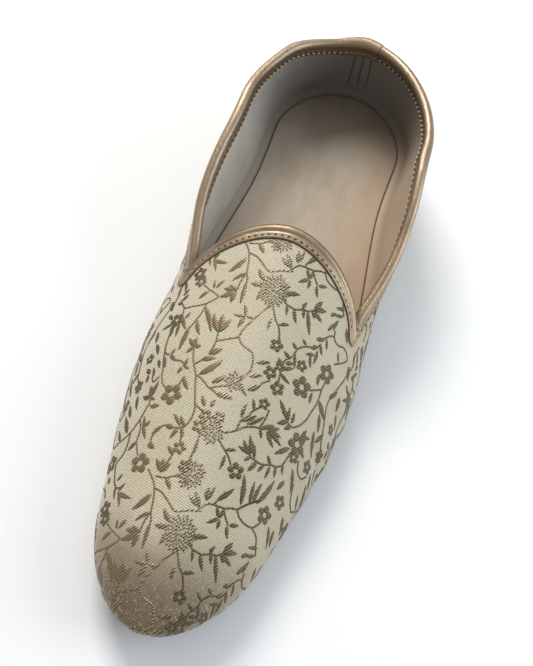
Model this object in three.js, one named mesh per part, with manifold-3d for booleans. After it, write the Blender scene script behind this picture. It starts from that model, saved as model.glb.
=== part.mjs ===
// Brocade slip-on shoe with a closed heel: the left one of a pair, standing empty on its sole.
// Millimetres. +Y points to the toe, +X to the wearer's right and +Z up; the floor is z = 0.
// The shoe is worked out from the back of its heel and then moved so that the origin
// is the middle of the heel's resting face.
import * as THREE from "three";
import { mergeVertices } from "three/addons/utils/BufferGeometryUtils.js";
import Module from "manifold-3d";

const wasm = await Module();
wasm.setup();

// Driving sizes
const LENGTH = 285;
const BALL_WIDTH = 93;
const INSTEP_HEIGHT = 57;
const TOPLINE_WIDTH = 86.4;
const TOPLINE_HEIGHT = 57;
const NOTCH_SPREAD = 73.4;
const NOTCH_FROM_HEEL = 142;
const ARCH_FROM_HEEL = 120;
const UPPER_WALL = 2;
const LASTING_MARGIN = 12;
const FEATHER_TUCK = 4;
const FEATHER_RISE = 6.5;
const HEEL_CURVE_LEAN = 1;
const TOPLINE_LEAN = 4;
const FOOT_BOW = 1.5;
const HEEL_ROUND = 38;
const TOPLINE_HEEL_ROUND = 57;
const TOE_ROUND = 46.5;
const TOE_CREST_ROUND = 27.5;
const SOLE_THICKNESS = 4;
const SOLE_LIP = 0.8;
const SOLE_EDGE_BEVEL = 0.8;
const HEEL_HEIGHT = 6.5;
const HEEL_LENGTH = 66;
const HEEL_BREAST_HOLLOW = 4;
const HEEL_TAPER = 1.2;
const HEEL_SEAT_CENTRE = 34;
const TOE_SPRING = 9;
const INSOLE_THICKNESS = 2.5;
const BINDING_FLANGE = 4.6;
const BINDING_BAND = 6;
const BINDING_LEATHER = 0.9;
const BINDING_BEAD = 0.4;
const BINDING_TAIL = 6;
const ARCH_MITRE_SETBACK = 1.9;
const ARCH_CORNER_DEG = 14;
const QUARTER_BLEND = 42;
const BAND_SLACK = 0.5;
const EDGE_SLACK = 0.12;
const CLEARANCE = 0.3;

// Powers of the round forms: 2 is an ellipse, more is squarer.
const VAMP_FULLNESS = 1.95;
const ARCH_FULLNESS = 1.82;
const TOE_FULLNESS = 2.65;
const TOE_CREST_FULLNESS = 2.2;

// Shares of the length where the sole leaves the heel seat, lands on the floor and lifts again.
const SEAT_END_SHARE = 0.25;
const TREAD_START_SHARE = 0.58;
const TREAD_END_SHARE = 0.75;

// The last's widest line: "at" is a share of the length, "width" a share of the ball width.
const GIRTH_SECTIONS = [
  { at: 0.0, width: 0.73 },
  { at: 0.1, width: 0.775 },
  { at: 0.25, width: 0.77 },
  { at: 0.4, width: 0.89 },
  { at: 0.53, width: 0.98 },
  { at: 0.62, width: 0.985 },
  { at: 0.72, width: 0.905 },
  { at: 0.82, width: 0.78 },
  { at: 0.92, width: 0.655 },
  { at: 1.0, width: 0.55 },
];

// The vamp's ridge: "height" is a share of the instep height, measured from the floor.
const RIDGE_SECTIONS = [
  { at: 0.4, height: 1.01 },
  { at: 0.53, height: 0.905 },
  { at: 0.62, height: 0.835 },
  { at: 0.72, height: 0.745 },
  { at: 0.82, height: 0.65 },
  { at: 0.92, height: 0.55 },
  { at: 1.0, height: 0.455 },
];

// The opening's edge behind the notches: shares of the topline's own width and height.
const TOPLINE_SECTIONS = [
  { at: 0.0, width: 0.85, height: 0.905 },
  { at: 0.06, width: 0.905, height: 0.955 },
  { at: 0.14, width: 0.963, height: 0.992 },
  { at: 0.25, width: 1.0, height: 1.0 },
  { at: 0.38, width: 1.025, height: 0.79 },
];

// Stations round half of the shoe, from the middle of the heel's back to the toe.
const QUARTER_STEPS = 22;
const VAMP_STEPS = 24;
const HALF_STEPS = QUARTER_STEPS + VAMP_STEPS;
const RING = 2 * HALF_STEPS;
const NOTCH = QUARTER_STEPS / HALF_STEPS;
const FEATHER_ROWS = 3;
const WALL_ROWS = 9;
const STATION_SPREAD = 2.2;
const BEAD_STEPS = 4;
const TAIL_STEPS = 3;
const MITRE_REACH = 14;
const STEP = 1e-3;

// Smooth curve through the rows of a table, read at a share of the length.
function fromTable(rows, column, at) {
  const slope = (i) => {
    const before = rows[Math.max(i - 1, 0)];
    const after = rows[Math.min(i + 1, rows.length - 1)];
    return (after[column] - before[column]) / (after.at - before.at);
  };
  const last = rows.length - 2;
  const found = rows.findIndex((row, i) => i > last || at < rows[i + 1].at);
  const i = Math.min(found, last);
  const span = rows[i + 1].at - rows[i].at;
  const t = THREE.MathUtils.clamp((at - rows[i].at) / span, 0, 1);
  const rise = (3 - 2 * t) * t * t;
  const leave = t * (1 - t) * (1 - t) * span * slope(i);
  const arrive = t * t * (1 - t) * span * slope(i + 1);
  return rows[i][column] * (1 - rise) + rows[i + 1][column] * rise + leave - arrive;
}

// Even spacing along an outline that starts round a blunt end.
function spread(t) {
  return (1 - Math.cos(STATION_SPREAD * t)) / (1 - Math.cos(STATION_SPREAD));
}

// 0 at the very end of an outline, 1 where its rounding stops.
function roundedEnd(distance, reach, power, root) {
  const short = 1 - THREE.MathUtils.clamp(distance / reach, 0, 1);
  return Math.pow(1 - Math.pow(short, power), root);
}

// Underside of the outsole: level heel seat, arch, level tread and toe spring.
function soleBottom(y) {
  const at = y / LENGTH;
  if (at < TREAD_START_SHARE) {
    const down = THREE.MathUtils.smoothstep(at, SEAT_END_SHARE, TREAD_START_SHARE);
    return HEEL_HEIGHT * (1 - down);
  }
  const lift = Math.max(at - TREAD_END_SHARE, 0) / (1 - TREAD_END_SHARE);
  return TOE_SPRING * lift * lift;
}

function featherHeight(y) {
  return soleBottom(y) + SOLE_THICKNESS + CLEARANCE;
}

function girthHeight(y) {
  return featherHeight(y) + FEATHER_RISE;
}

function girthHalf(y) {
  const full = (BALL_WIDTH / 2) * fromTable(GIRTH_SECTIONS, "width", y / LENGTH);
  const toe = roundedEnd(LENGTH - y, TOE_ROUND, TOE_FULLNESS, 1 / 2);
  return full * toe * roundedEnd(y - HEEL_CURVE_LEAN, HEEL_ROUND, 2, 1 / 2);
}

function ridgeHeight(y) {
  const low = girthHeight(y);
  const full = INSTEP_HEIGHT * fromTable(RIDGE_SECTIONS, "height", y / LENGTH);
  const toe = roundedEnd(LENGTH - y, TOE_CREST_ROUND, TOE_CREST_FULLNESS, 1 / 2);
  return low + (full - low) * toe;
}

// The vamp over the plan: each cross section is a fuller half ellipse on the widest line.
function vampPoint(x, y) {
  const out = Math.min(Math.abs(x) / Math.max(girthHalf(y), STEP), 1);
  const arch = Math.pow(1 - Math.pow(out, VAMP_FULLNESS), 1 / VAMP_FULLNESS);
  const low = girthHeight(y);
  return new THREE.Vector3(x, y, low + (ridgeHeight(y) - low) * arch);
}

function vampNormal(x, y) {
  const across = vampPoint(x + STEP, y).sub(vampPoint(x - STEP, y));
  const along = vampPoint(x, y + STEP).sub(vampPoint(x, y - STEP));
  return across.cross(along).normalize();
}

// Half outlines, read at h: 0 is the middle of the heel's back and 1 the toe.
function alongShoe(h, back) {
  if (h <= NOTCH) return back + (NOTCH_FROM_HEEL - back) * spread(h / NOTCH);
  const fromToe = spread((1 - h) / (1 - NOTCH));
  return LENGTH - (LENGTH - NOTCH_FROM_HEEL) * fromToe;
}

function girthPoint(h) {
  const y = alongShoe(h, HEEL_CURVE_LEAN);
  return new THREE.Vector3(girthHalf(y), y, girthHeight(y));
}

function toplinePoint(h) {
  const y = alongShoe(h, TOPLINE_LEAN);
  const notch = vampPoint(NOTCH_SPREAD / 2, NOTCH_FROM_HEEL);
  const rows = [
    ...TOPLINE_SECTIONS,
    {
      at: NOTCH_FROM_HEEL / LENGTH,
      width: NOTCH_SPREAD / TOPLINE_WIDTH,
      height: notch.z / TOPLINE_HEIGHT,
    },
  ];
  const half = (TOPLINE_WIDTH / 2) * fromTable(rows, "width", y / LENGTH);
  const z = TOPLINE_HEIGHT * fromTable(rows, "height", y / LENGTH);
  return new THREE.Vector3(half * roundedEnd(y - TOPLINE_LEAN, TOPLINE_HEEL_ROUND, 2, 1 / 2), y, z);
}

// The vamp's arched edge from a notch (h = NOTCH) to its top on the centre line (h = 1):
// part of a half ellipse on its side, which meets the notch at an angle.
function archPoint(h) {
  const corner = THREE.MathUtils.degToRad(ARCH_CORNER_DEG);
  const across = (angle) => Math.pow(Math.cos(angle), 2 / ARCH_FULLNESS);
  const back = (angle) => Math.pow(Math.sin(angle), 2 / ARCH_FULLNESS);
  const angle = corner + (Math.PI / 2 - corner) * ((h - NOTCH) / (1 - NOTCH));
  const x = ((NOTCH_SPREAD / 2) * across(Math.min(angle, Math.PI / 2))) / across(corner);
  const share = (1 - back(angle)) / (1 - back(corner));
  return vampPoint(x, ARCH_FROM_HEEL + (NOTCH_FROM_HEEL - ARCH_FROM_HEEL) * share);
}

// Level direction away from the shoe, square to a half outline.
function outwardAt(outline, h) {
  if (h <= 0) return new THREE.Vector3(0, -1, 0);
  if (h >= 1) return new THREE.Vector3(0, 1, 0);
  const along = outline(h + STEP).sub(outline(h - STEP));
  return new THREE.Vector3(along.y, -along.x, 0).normalize();
}

// The turned edge over the sole: a quarter of an ellipse, turn 0 on the sole and 1 at the girth.
function featherPoint(h, turn) {
  const angle = (turn * Math.PI) / 2;
  const girth = girthPoint(h);
  const inward = outwardAt(girthPoint, h).multiplyScalar(-FEATHER_TUCK * (1 - Math.sin(angle)));
  const point = girth.add(inward);
  point.z = featherHeight(point.y) + FEATHER_RISE * (1 - Math.cos(angle));
  return point;
}

// Wall of the vamp from the girth (rise 0) to the arched edge (rise 1).
function vampWallPoint(h, rise) {
  const across = 1 - Math.cos((rise * Math.PI) / 2);
  const point = girthPoint(h).lerp(archPoint(h), across);
  return vampPoint(point.x, point.y);
}

// Wall of the quarter: its straight line from girth to topline, bowed like the section at the notch.
function quarterWallPoint(h, rise) {
  const low = girthPoint(h);
  const top = toplinePoint(h);
  const foot = girthPoint(NOTCH);
  const notch = vampPoint(NOTCH_SPREAD / 2, NOTCH_FROM_HEEL);
  const section = vampWallPoint(NOTCH, rise);
  const share = (section.z - foot.z) / (notch.z - foot.z);
  const bow = section.x - (foot.x + (notch.x - foot.x) * share);
  const near = THREE.MathUtils.smoothstep(low.y, NOTCH_FROM_HEEL - QUARTER_BLEND, NOTCH_FROM_HEEL);
  const keep = 0.3 + 0.7 * near;
  return low.lerp(top, share).addScaledVector(outwardAt(toplinePoint, h), bow * keep);
}

function wallPoint(h, rise) {
  return h < NOTCH ? quarterWallPoint(h, rise) : vampWallPoint(h, rise);
}

function wallNormal(h, rise) {
  const side = wallPoint(Math.min(h + STEP, 1), rise).sub(wallPoint(Math.max(h - STEP, 0), rise));
  const up = wallPoint(h, rise).sub(wallPoint(h, rise - STEP));
  return side.cross(up).normalize();
}

// Points of a ring that is mirrored from half of it: first and last lie on the centre line.
function mirroredRing(half) {
  const other = half.slice(1, -1).reverse();
  return [...half, ...other.map((p) => new THREE.Vector3(-p.x, p.y, p.z))];
}

function halfRing(pointAt) {
  return Array.from({ length: HALF_STEPS + 1 }, (_, i) => pointAt(i / HALF_STEPS));
}

// Body of triangles over numbered points.
function bodyOf(points, triangles) {
  const geometry = new THREE.BufferGeometry();
  const numbers = points.flatMap((p) => [p.x, p.y, p.z]);
  geometry.setAttribute("position", new THREE.Float32BufferAttribute(numbers, 3));
  geometry.setIndex(triangles);
  return geometry;
}

// Two triangles of a four-sided patch, seen from outside with its corners anticlockwise.
function patch(a, b, c, d) {
  return [a, b, c, a, c, d];
}

// Triangles between mirrored rings of equal count; the first ring lies below the next.
// The diagonals are mirrored too, so that both sides of the shoe are alike.
function bandTriangles(rows, count, closed) {
  const triangles = [];
  const last = closed ? rows : rows - 1;
  for (let row = 0; row < last; row++) {
    const next = (row + 1) % rows;
    for (let i = 0; i < count; i++) {
      const j = (i + 1) % count;
      const corners = [row * count + i, row * count + j, next * count + j, next * count + i];
      if (i < count / 2) corners.push(corners.shift());
      triangles.push(...patch(...corners));
    }
  }
  return triangles;
}

// Lid over a mirrored ring: rungs from each point to the one across the centre line.
function ladderTriangles(start, count, faceUp) {
  const triangles = [];
  const half = count / 2;
  for (let i = 0; i < half; i++) {
    const right = [start + i, start + i + 1];
    const left = [start + ((count - i) % count), start + count - i - 1];
    const rung =
      i === 0
        ? [right[0], right[1], left[1]]
        : i === half - 1
          ? [right[0], right[1], left[0]]
          : patch(right[0], right[1], left[1], left[0]);
    for (let k = 0; k < rung.length; k += 3) {
      const [a, b, c] = rung.slice(k, k + 3);
      triangles.push(...(faceUp ? [a, b, c] : [a, c, b]));
    }
  }
  return triangles;
}

// Lid over a level ring, which may be hollow somewhere.
function levelLidTriangles(ring, start, faceUp) {
  const outline = ring.map((p) => new THREE.Vector2(p.x, p.y));
  return THREE.ShapeUtils.triangulateShape(outline, []).flatMap(([a, b, c]) => {
    return faceUp ? [start + a, start + b, start + c] : [start + a, start + c, start + b];
  });
}

// Solid of stacked rings, each mirrored about the centre line, closed by a lid at each end.
function stackedSolid(rings) {
  const count = rings[0].length;
  const triangles = bandTriangles(rings.length, count, false);
  triangles.push(...ladderTriangles(0, count, false));
  triangles.push(...ladderTriangles((rings.length - 1) * count, count, true));
  return bodyOf(rings.flat(), triangles);
}

// Hollow upper: the outer skin from the lasting margin to the edge, and the same one wall inside.
function upperBody() {
  const margin = halfRing((h) => {
    const point = featherPoint(h, 0).addScaledVector(outwardAt(girthPoint, h), -LASTING_MARGIN);
    point.z = featherHeight(point.y);
    return point;
  });
  const outer = [mirroredRing(margin)];
  for (let row = 0; row <= FEATHER_ROWS; row++) {
    outer.push(mirroredRing(halfRing((h) => featherPoint(h, row / FEATHER_ROWS))));
  }
  for (let row = 1; row <= WALL_ROWS; row++) {
    outer.push(mirroredRing(halfRing((h) => wallPoint(h, row / WALL_ROWS))));
  }
  const skin = bodyOf(outer.flat(), bandTriangles(outer.length, RING, false));
  skin.computeVertexNormals();
  const normals = skin.getAttribute("normal");
  const inner = outer.map((ring, row) =>
    ring.map((point, i) => {
      const normal = new THREE.Vector3().fromBufferAttribute(normals, row * RING + i);
      return point.clone().addScaledVector(normal, -UPPER_WALL);
    }),
  );
  const rings = [...outer, ...inner.reverse()];
  return bodyOf(rings.flat(), bandTriangles(rings.length, RING, true));
}

function featherOutline(outset, height) {
  return mirroredRing(
    halfRing((h) => {
      const point = featherPoint(h, 0).addScaledVector(outwardAt(girthPoint, h), outset);
      point.z = height(point.y);
      return point;
    }),
  );
}

function outsoleBody() {
  const bottom = (y) => soleBottom(y);
  const top = (y) => soleBottom(y) + SOLE_THICKNESS;
  return stackedSolid([
    featherOutline(SOLE_LIP - 2 * SOLE_EDGE_BEVEL, bottom),
    featherOutline(SOLE_LIP, (y) => bottom(y) + SOLE_EDGE_BEVEL),
    featherOutline(SOLE_LIP, (y) => top(y) - SOLE_EDGE_BEVEL),
    featherOutline(SOLE_LIP - SOLE_EDGE_BEVEL, top),
  ]);
}

function insoleBody() {
  const bottom = (y) => featherHeight(y) + UPPER_WALL + CLEARANCE;
  return stackedSolid([
    featherOutline(-CLEARANCE, bottom),
    featherOutline(-CLEARANCE, (y) => bottom(y) + INSOLE_THICKNESS),
  ]);
}

// Low heel under the seat: the sole's own outline cut off by a hollow breast.
function heelBody() {
  const breastSteps = 6;
  const heelRing = (outset, z) => {
    const half = halfRing((h) => featherPoint(h, 0).addScaledVector(outwardAt(girthPoint, h), outset));
    const sides = half.filter((p) => p.y < HEEL_LENGTH - CLEARANCE);
    const corner = new THREE.Vector3(sides[sides.length - 1].x, HEEL_LENGTH, 0);
    for (let i = 0; i <= breastSteps; i++) {
      const x = corner.x * (1 - i / breastSteps);
      const hollow = HEEL_BREAST_HOLLOW * (1 - (x / corner.x) ** 2);
      sides.push(new THREE.Vector3(x, HEEL_LENGTH - hollow, 0));
    }
    return mirroredRing(sides.map((p) => new THREE.Vector3(p.x, p.y, z)));
  };
  const rings = [
    heelRing(SOLE_LIP - HEEL_TAPER, 0),
    heelRing(SOLE_LIP - SOLE_EDGE_BEVEL, HEEL_HEIGHT - CLEARANCE),
  ];
  const count = rings[0].length;
  const triangles = bandTriangles(rings.length, count, false);
  triangles.push(...levelLidTriangles(rings[0], 0, false));
  triangles.push(...levelLidTriangles(rings[1], count, true));
  return bodyOf(rings.flat(), triangles);
}

// Cross section of the binding as pairs of a skin point and a core point, from the outer
// flange over the bead to the inner band. "in" is the way from the edge into the upper and
// "off" the way out of its outer face.
function bindingSection() {
  const core = UPPER_WALL / 2 + CLEARANCE + EDGE_SLACK;
  const skin = core + BINDING_LEATHER;
  const middle = -UPPER_WALL / 2;
  const pairs = [];
  const add = (inSkin, offSkin, inCore, offCore) =>
    pairs.push({
      skin: { in: inSkin, off: middle + offSkin },
      core: { in: inCore, off: middle + offCore },
    });
  add(BINDING_FLANGE, skin, BINDING_FLANGE, core);
  add(skin, skin, core, core);
  for (let i = 0; i <= BEAD_STEPS; i++) {
    const angle = Math.PI / 2 - (i / BEAD_STEPS) * Math.PI;
    const bead = skin + BINDING_BEAD;
    add(-bead * Math.cos(angle), bead * Math.sin(angle), -core * Math.cos(angle), core * Math.sin(angle));
  }
  add(skin, -skin - BAND_SLACK, core, -core - BAND_SLACK);
  add(BINDING_BAND, -skin - BAND_SLACK, BINDING_BAND, -core - BAND_SLACK);
  return pairs;
}

// The line in which the two bindings meet, from a notch forwards: half way between their edges.
function mitreDirection() {
  const archWay = archPoint(NOTCH + STEP).sub(archPoint(NOTCH)).setZ(0).normalize();
  const quarterWay = toplinePoint(NOTCH - STEP).sub(toplinePoint(NOTCH)).setZ(0).normalize();
  return archWay.add(quarterWay).normalize().negate();
}

// Point on or beside the vamp's face: "into" is a level direction from the edge point.
function vampBindingPoint(edge, into, place) {
  const near = vampPoint(edge.x + into.x * STEP, edge.y + into.y * STEP);
  const slope = near.sub(edge).normalize();
  const level = Math.hypot(slope.x, slope.y) * Math.max(place.in, 0);
  const face = vampPoint(edge.x + into.x * level, edge.y + into.y * level);
  const normal = vampNormal(face.x, face.y);
  return face.addScaledVector(normal, place.off).addScaledVector(slope, Math.min(place.in, 0));
}

function quarterBindingPoint(h, place) {
  const rise = wallPoint(h, 1).sub(wallPoint(h, 1 - STEP)).divideScalar(STEP);
  const down = Math.max(place.in, 0) / rise.length();
  const face = wallPoint(h, 1 - down);
  return face
    .addScaledVector(wallNormal(h, 1 - down), place.off)
    .addScaledVector(rise.normalize(), Math.max(-place.in, 0));
}

// Binding strip through rings of section points, closed at both ends.
function stripBody(sections) {
  const count = sections[0].length;
  const triangles = [];
  for (let s = 0; s + 1 < sections.length; s++) {
    for (let i = 0; i < count; i++) {
      const j = (i + 1) % count;
      triangles.push(...patch(s * count + i, s * count + j, (s + 1) * count + j, (s + 1) * count + i));
    }
  }
  const end = (sections.length - 1) * count;
  for (let i = 0; i + 1 < count / 2; i++) {
    const [a, b, c, d] = [i, i + 1, count - 2 - i, count - 1 - i];
    triangles.push(...patch(d, c, b, a));
    triangles.push(...patch(end + a, end + b, end + c, end + d));
  }
  return bodyOf(sections.flat(), triangles);
}

// Strip through stations of the right half, mirrored to the left so that it crosses the centre line.
function mirroredStrip(rightSections) {
  const mirrored = rightSections.slice(1).map((ring) => ring.map((p) => new THREE.Vector3(-p.x, p.y, p.z)));
  return [...mirrored.reverse(), ...rightSections];
}

function sectionRing(pointAt) {
  const pairs = bindingSection();
  const skin = pairs.map((pair) => pointAt(pair.skin));
  const core = pairs.map((pair) => pointAt(pair.core));
  return [...skin, ...core.reverse()];
}

function solidOf(geometry) {
  const merged = mergeVertices(geometry, STEP);
  return new wasm.Manifold(
    new wasm.Mesh({
      numProp: 3,
      vertProperties: merged.attributes.position.array,
      triVerts: new Uint32Array(merged.index.array),
    }),
  );
}

// Block that fills one side of the right notch's mitre, which stands square on the upper there.
function mitreBlock(side) {
  const notch = archPoint(NOTCH);
  const level = mitreDirection().multiplyScalar(STEP);
  const along = vampPoint(notch.x + level.x, notch.y + level.y).sub(notch).normalize();
  const off = vampNormal(notch.x, notch.y);
  const away = along.clone().cross(off).multiplyScalar(side);
  const block = new THREE.BoxGeometry(2 * MITRE_REACH, MITRE_REACH, 2 * MITRE_REACH);
  block.deleteAttribute("normal");
  block.deleteAttribute("uv");
  const third = along.clone().cross(away);
  const setback = side > 0 ? ARCH_MITRE_SETBACK : CLEARANCE;
  const centre = notch.addScaledVector(away, MITRE_REACH / 2 - setback);
  return block.applyMatrix4(new THREE.Matrix4().makeBasis(along, away, third).setPosition(centre));
}

// What is left of a strip on one side of the mitre at each notch: side is 1 for the arch's side.
function trimmedAtMitres(geometry, side) {
  const cut = solidOf(mitreBlock(side));
  const left = solidOf(geometry).subtract(cut).subtract(cut.mirror([1, 0, 0]));
  const mesh = left.getMesh();
  const trimmed = new THREE.BufferGeometry();
  trimmed.setAttribute("position", new THREE.BufferAttribute(mesh.vertProperties, 3));
  trimmed.setIndex(new THREE.BufferAttribute(mesh.triVerts, 1));
  return trimmed;
}

// Sections of a binding that runs straight on past a notch over the vamp's face.
function tailSections(forward, into) {
  const sections = [];
  for (let i = 0; i <= TAIL_STEPS; i++) {
    const level = archPoint(NOTCH).addScaledVector(forward, (BINDING_TAIL * i) / TAIL_STEPS);
    const edge = vampPoint(level.x, level.y);
    sections.push(sectionRing((place) => vampBindingPoint(edge, into, place)));
  }
  return sections;
}

function vampBindingBody() {
  const forward = archPoint(NOTCH).sub(archPoint(NOTCH + STEP)).setZ(0).normalize();
  const sections = [];
  for (let i = 0; i < VAMP_STEPS; i++) {
    const h = 1 - (i / VAMP_STEPS) * (1 - NOTCH);
    sections.push(sectionRing((place) => vampBindingPoint(archPoint(h), outwardAt(archPoint, h), place)));
  }
  sections.push(...tailSections(forward, new THREE.Vector3(-forward.y, forward.x, 0)));
  return trimmedAtMitres(stripBody(mirroredStrip(sections)), 1);
}

function toplineBindingBody() {
  const forward = toplinePoint(NOTCH).sub(toplinePoint(NOTCH - STEP)).setZ(0).normalize();
  const sections = [];
  for (let i = 0; i < QUARTER_STEPS; i++) {
    sections.push(sectionRing((place) => quarterBindingPoint((i / QUARTER_STEPS) * NOTCH, place)));
  }
  sections.push(...tailSections(forward, new THREE.Vector3(forward.y, -forward.x, 0)));
  return trimmedAtMitres(stripBody(mirroredStrip(sections).reverse()), -1);
}

// A left shoe's middle line bows outwards, to -X, most at half of its length.
function footBow(y) {
  const at = y / LENGTH;
  return -4 * FOOT_BOW * at * (1 - at);
}

function bowed(geometry) {
  const places = geometry.getAttribute("position");
  for (let i = 0; i < places.count; i++) {
    places.setX(i, places.getX(i) + footBow(places.getY(i)));
  }
  return geometry;
}

function piece(name, geometry, color, roughness, metalness) {
  const material = new THREE.MeshStandardMaterial({ color, roughness, metalness });
  const mesh = new THREE.Mesh(bowed(geometry), material);
  mesh.name = name;
  return mesh;
}

const shoe = new THREE.Group();
shoe.add(piece("upper", upperBody(), 0xc9bd9a, 0.7, 0.05));
shoe.add(piece("outsole", outsoleBody(), 0x3a2c20, 0.6, 0));
shoe.add(piece("heel_lift", heelBody(), 0x2c221a, 0.6, 0));
shoe.add(piece("insole", insoleBody(), 0xb7a890, 0.6, 0));
shoe.add(piece("vamp_binding", vampBindingBody(), 0xa38a66, 0.35, 0.6));
shoe.add(piece("topline_binding", toplineBindingBody(), 0xa38a66, 0.35, 0.6));
shoe.position.set(-footBow(HEEL_SEAT_CENTRE), -HEEL_SEAT_CENTRE, 0);

export default shoe;
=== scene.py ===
"""Dresses the left shoe of a pair of brocade slip-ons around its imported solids.

Shapes are worked out in millimetres on the straight last, measured from the back of the
heel: x to the wearer's right, y to the toe and z up from the floor. They are bowed and
moved into the shared frame, in metres, when their meshes are made.
"""

import logging
from dataclasses import dataclass
from enum import Enum
from functools import partial
from typing import Callable, Sequence

import bpy
import numpy as np
from mathutils import Matrix


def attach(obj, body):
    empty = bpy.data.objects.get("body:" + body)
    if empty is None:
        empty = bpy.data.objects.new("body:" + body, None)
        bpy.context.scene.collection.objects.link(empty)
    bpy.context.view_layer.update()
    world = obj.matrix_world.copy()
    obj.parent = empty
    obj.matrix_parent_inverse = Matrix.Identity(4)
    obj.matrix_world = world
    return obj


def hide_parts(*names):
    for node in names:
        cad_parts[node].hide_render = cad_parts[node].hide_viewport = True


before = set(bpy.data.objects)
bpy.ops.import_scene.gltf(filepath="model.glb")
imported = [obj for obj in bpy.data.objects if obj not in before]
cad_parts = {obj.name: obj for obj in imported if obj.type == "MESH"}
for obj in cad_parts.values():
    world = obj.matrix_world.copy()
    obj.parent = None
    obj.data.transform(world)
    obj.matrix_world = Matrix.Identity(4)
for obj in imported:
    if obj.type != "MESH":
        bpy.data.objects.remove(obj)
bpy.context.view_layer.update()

Array = np.ndarray
Curve = Callable[[Array], Array]
Profile = Sequence[tuple[float, float]]
Colour = tuple[float, float, float]
# Middles of stitches, and directions along the row, out of the leather and across the row.
Rows = tuple[Array, Array, Array, Array]

MM = 0.001
# Small way that slopes are taken over: millimetres, or a share of an outline.
STEP = 1e-3
QUARTER_TURN = np.pi / 2
# Turns a point of the right half into its mirror on the left.
MIRROR = np.array([-1.0, 1.0, 1.0])
BODY = "root"
LOG = logging.getLogger("shoe")


def smoothstep(value: Array, low: float, high: float) -> Array:
    """Give 0 below low, 1 above high and a soft S between them."""
    t = np.clip((value - low) / (high - low), 0.0, 1.0)
    return t * t * (3.0 - 2.0 * t)


def unit(vectors: Array) -> Array:
    """Scale each vector of the last axis to length 1."""
    return vectors / np.maximum(np.linalg.norm(vectors, axis=-1, keepdims=True), 1e-12)


def running_length(points: Array, axis: int = 0) -> Array:
    """Measure the way along rows of points.

    Args:
        points: Points whose last axis holds the coordinates.
        axis: The axis that runs along each row.

    Returns:
        The length from the first point of each row, with a 0 for that point.
    """
    steps = np.linalg.norm(np.diff(points, axis=axis), axis=-1)
    lengths = np.cumsum(steps, axis=axis)
    start = np.zeros_like(np.take(lengths, [0], axis=axis))
    return np.concatenate([start, lengths], axis=axis)


def from_table(rows: Array, at: Array) -> Array:
    """Read a smooth curve through a table's rows.

    Each span is a cubic whose end slopes are those of the chord between the neighbours.

    Args:
        rows: Pairs of a place and the value there.
        at: Places to read.

    Returns:
        The value at each place.
    """
    knots, values = rows[:, 0], rows[:, 1]
    before = np.maximum(np.arange(len(knots)) - 1, 0)
    after = np.minimum(np.arange(len(knots)) + 1, len(knots) - 1)
    slopes = (values[after] - values[before]) / (knots[after] - knots[before])
    i = np.clip(np.searchsorted(knots, at, side="right") - 1, 0, len(knots) - 2)
    span = knots[i + 1] - knots[i]
    t = np.clip((at - knots[i]) / span, 0.0, 1.0)
    rise = t * t * (3.0 - 2.0 * t)
    leave = t * (1.0 - t) ** 2 * span * slopes[i]
    arrive = t * t * (1.0 - t) * span * slopes[i + 1]
    return values[i] * (1.0 - rise) + values[i + 1] * rise + leave - arrive


def bilinear(table: Array, row: Array, column: Array) -> Array:
    """Read a table between its rows and columns, at places counted in steps."""
    row = np.clip(row, 0.0, table.shape[0] - 1.001)
    column = np.clip(column, 0.0, table.shape[1] - 1.001)
    i, j = row.astype(int), column.astype(int)
    s, t = row - i, column - j
    low = table[i, j] * (1.0 - t) + table[i, j + 1] * t
    high = table[i + 1, j] * (1.0 - t) + table[i + 1, j + 1] * t
    return low * (1.0 - s) + high * s


def rounded_end(distance: Array, reach: float, power: float) -> Array:
    """Grow from 0 at the very end of an outline to 1 where its rounding stops."""
    short = 1.0 - np.clip(distance / reach, 0.0, 1.0)
    return np.sqrt(1.0 - short**power)


def closed(right: Array) -> Array:
    """Close half rings, each from the heel to the toe on the right, by their mirrors."""
    return np.concatenate([right, right[..., -2:0:-1, :] * MIRROR[: right.shape[-1]]], axis=-2)


@dataclass(frozen=True)
class Push:
    """Soft push that the worn collar has kept, on all its layers alike.

    Attributes:
        at: Place on the plan where it is strongest.
        reach: How far from there it falls to about a third.
        move: How far it moves the topline.
        foot: Height where it starts to move the wall.
        head: Height from where it moves all of it.
    """

    at: tuple[float, float]
    reach: float
    move: tuple[float, float, float]
    foot: float = 18.0
    head: float = 50.0

    def shift(self, points: Array) -> Array:
        """Movement of points of the last, which fades down the wall to nothing at the foot."""
        away = np.linalg.norm(points[..., :2] - self.at, axis=-1) / self.reach
        share = np.exp(-away**2) * smoothstep(points[..., 2], self.foot, self.head)
        return share[..., None] * np.array(self.move)


COLLAR_PUSHES = (
    Push((17.0, 4.0), 12.0, (-0.4, 2.0, -0.5)),
    Push((32.0, 23.0), 9.0, (0.9, -0.8, 0.2)),
    Push((0.0, 0.0), 6.0, (0.0, -0.7, 0.3)),
    Push((-36.0, 62.0), 7.0, (1.1, 0.0, -0.4)),
    Push((-38.0, 86.0), 10.0, (-0.7, 0.0, 0.2)),
    Push((38.0, 70.0), 14.0, (-0.8, 0.0, -0.5)),
)


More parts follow.
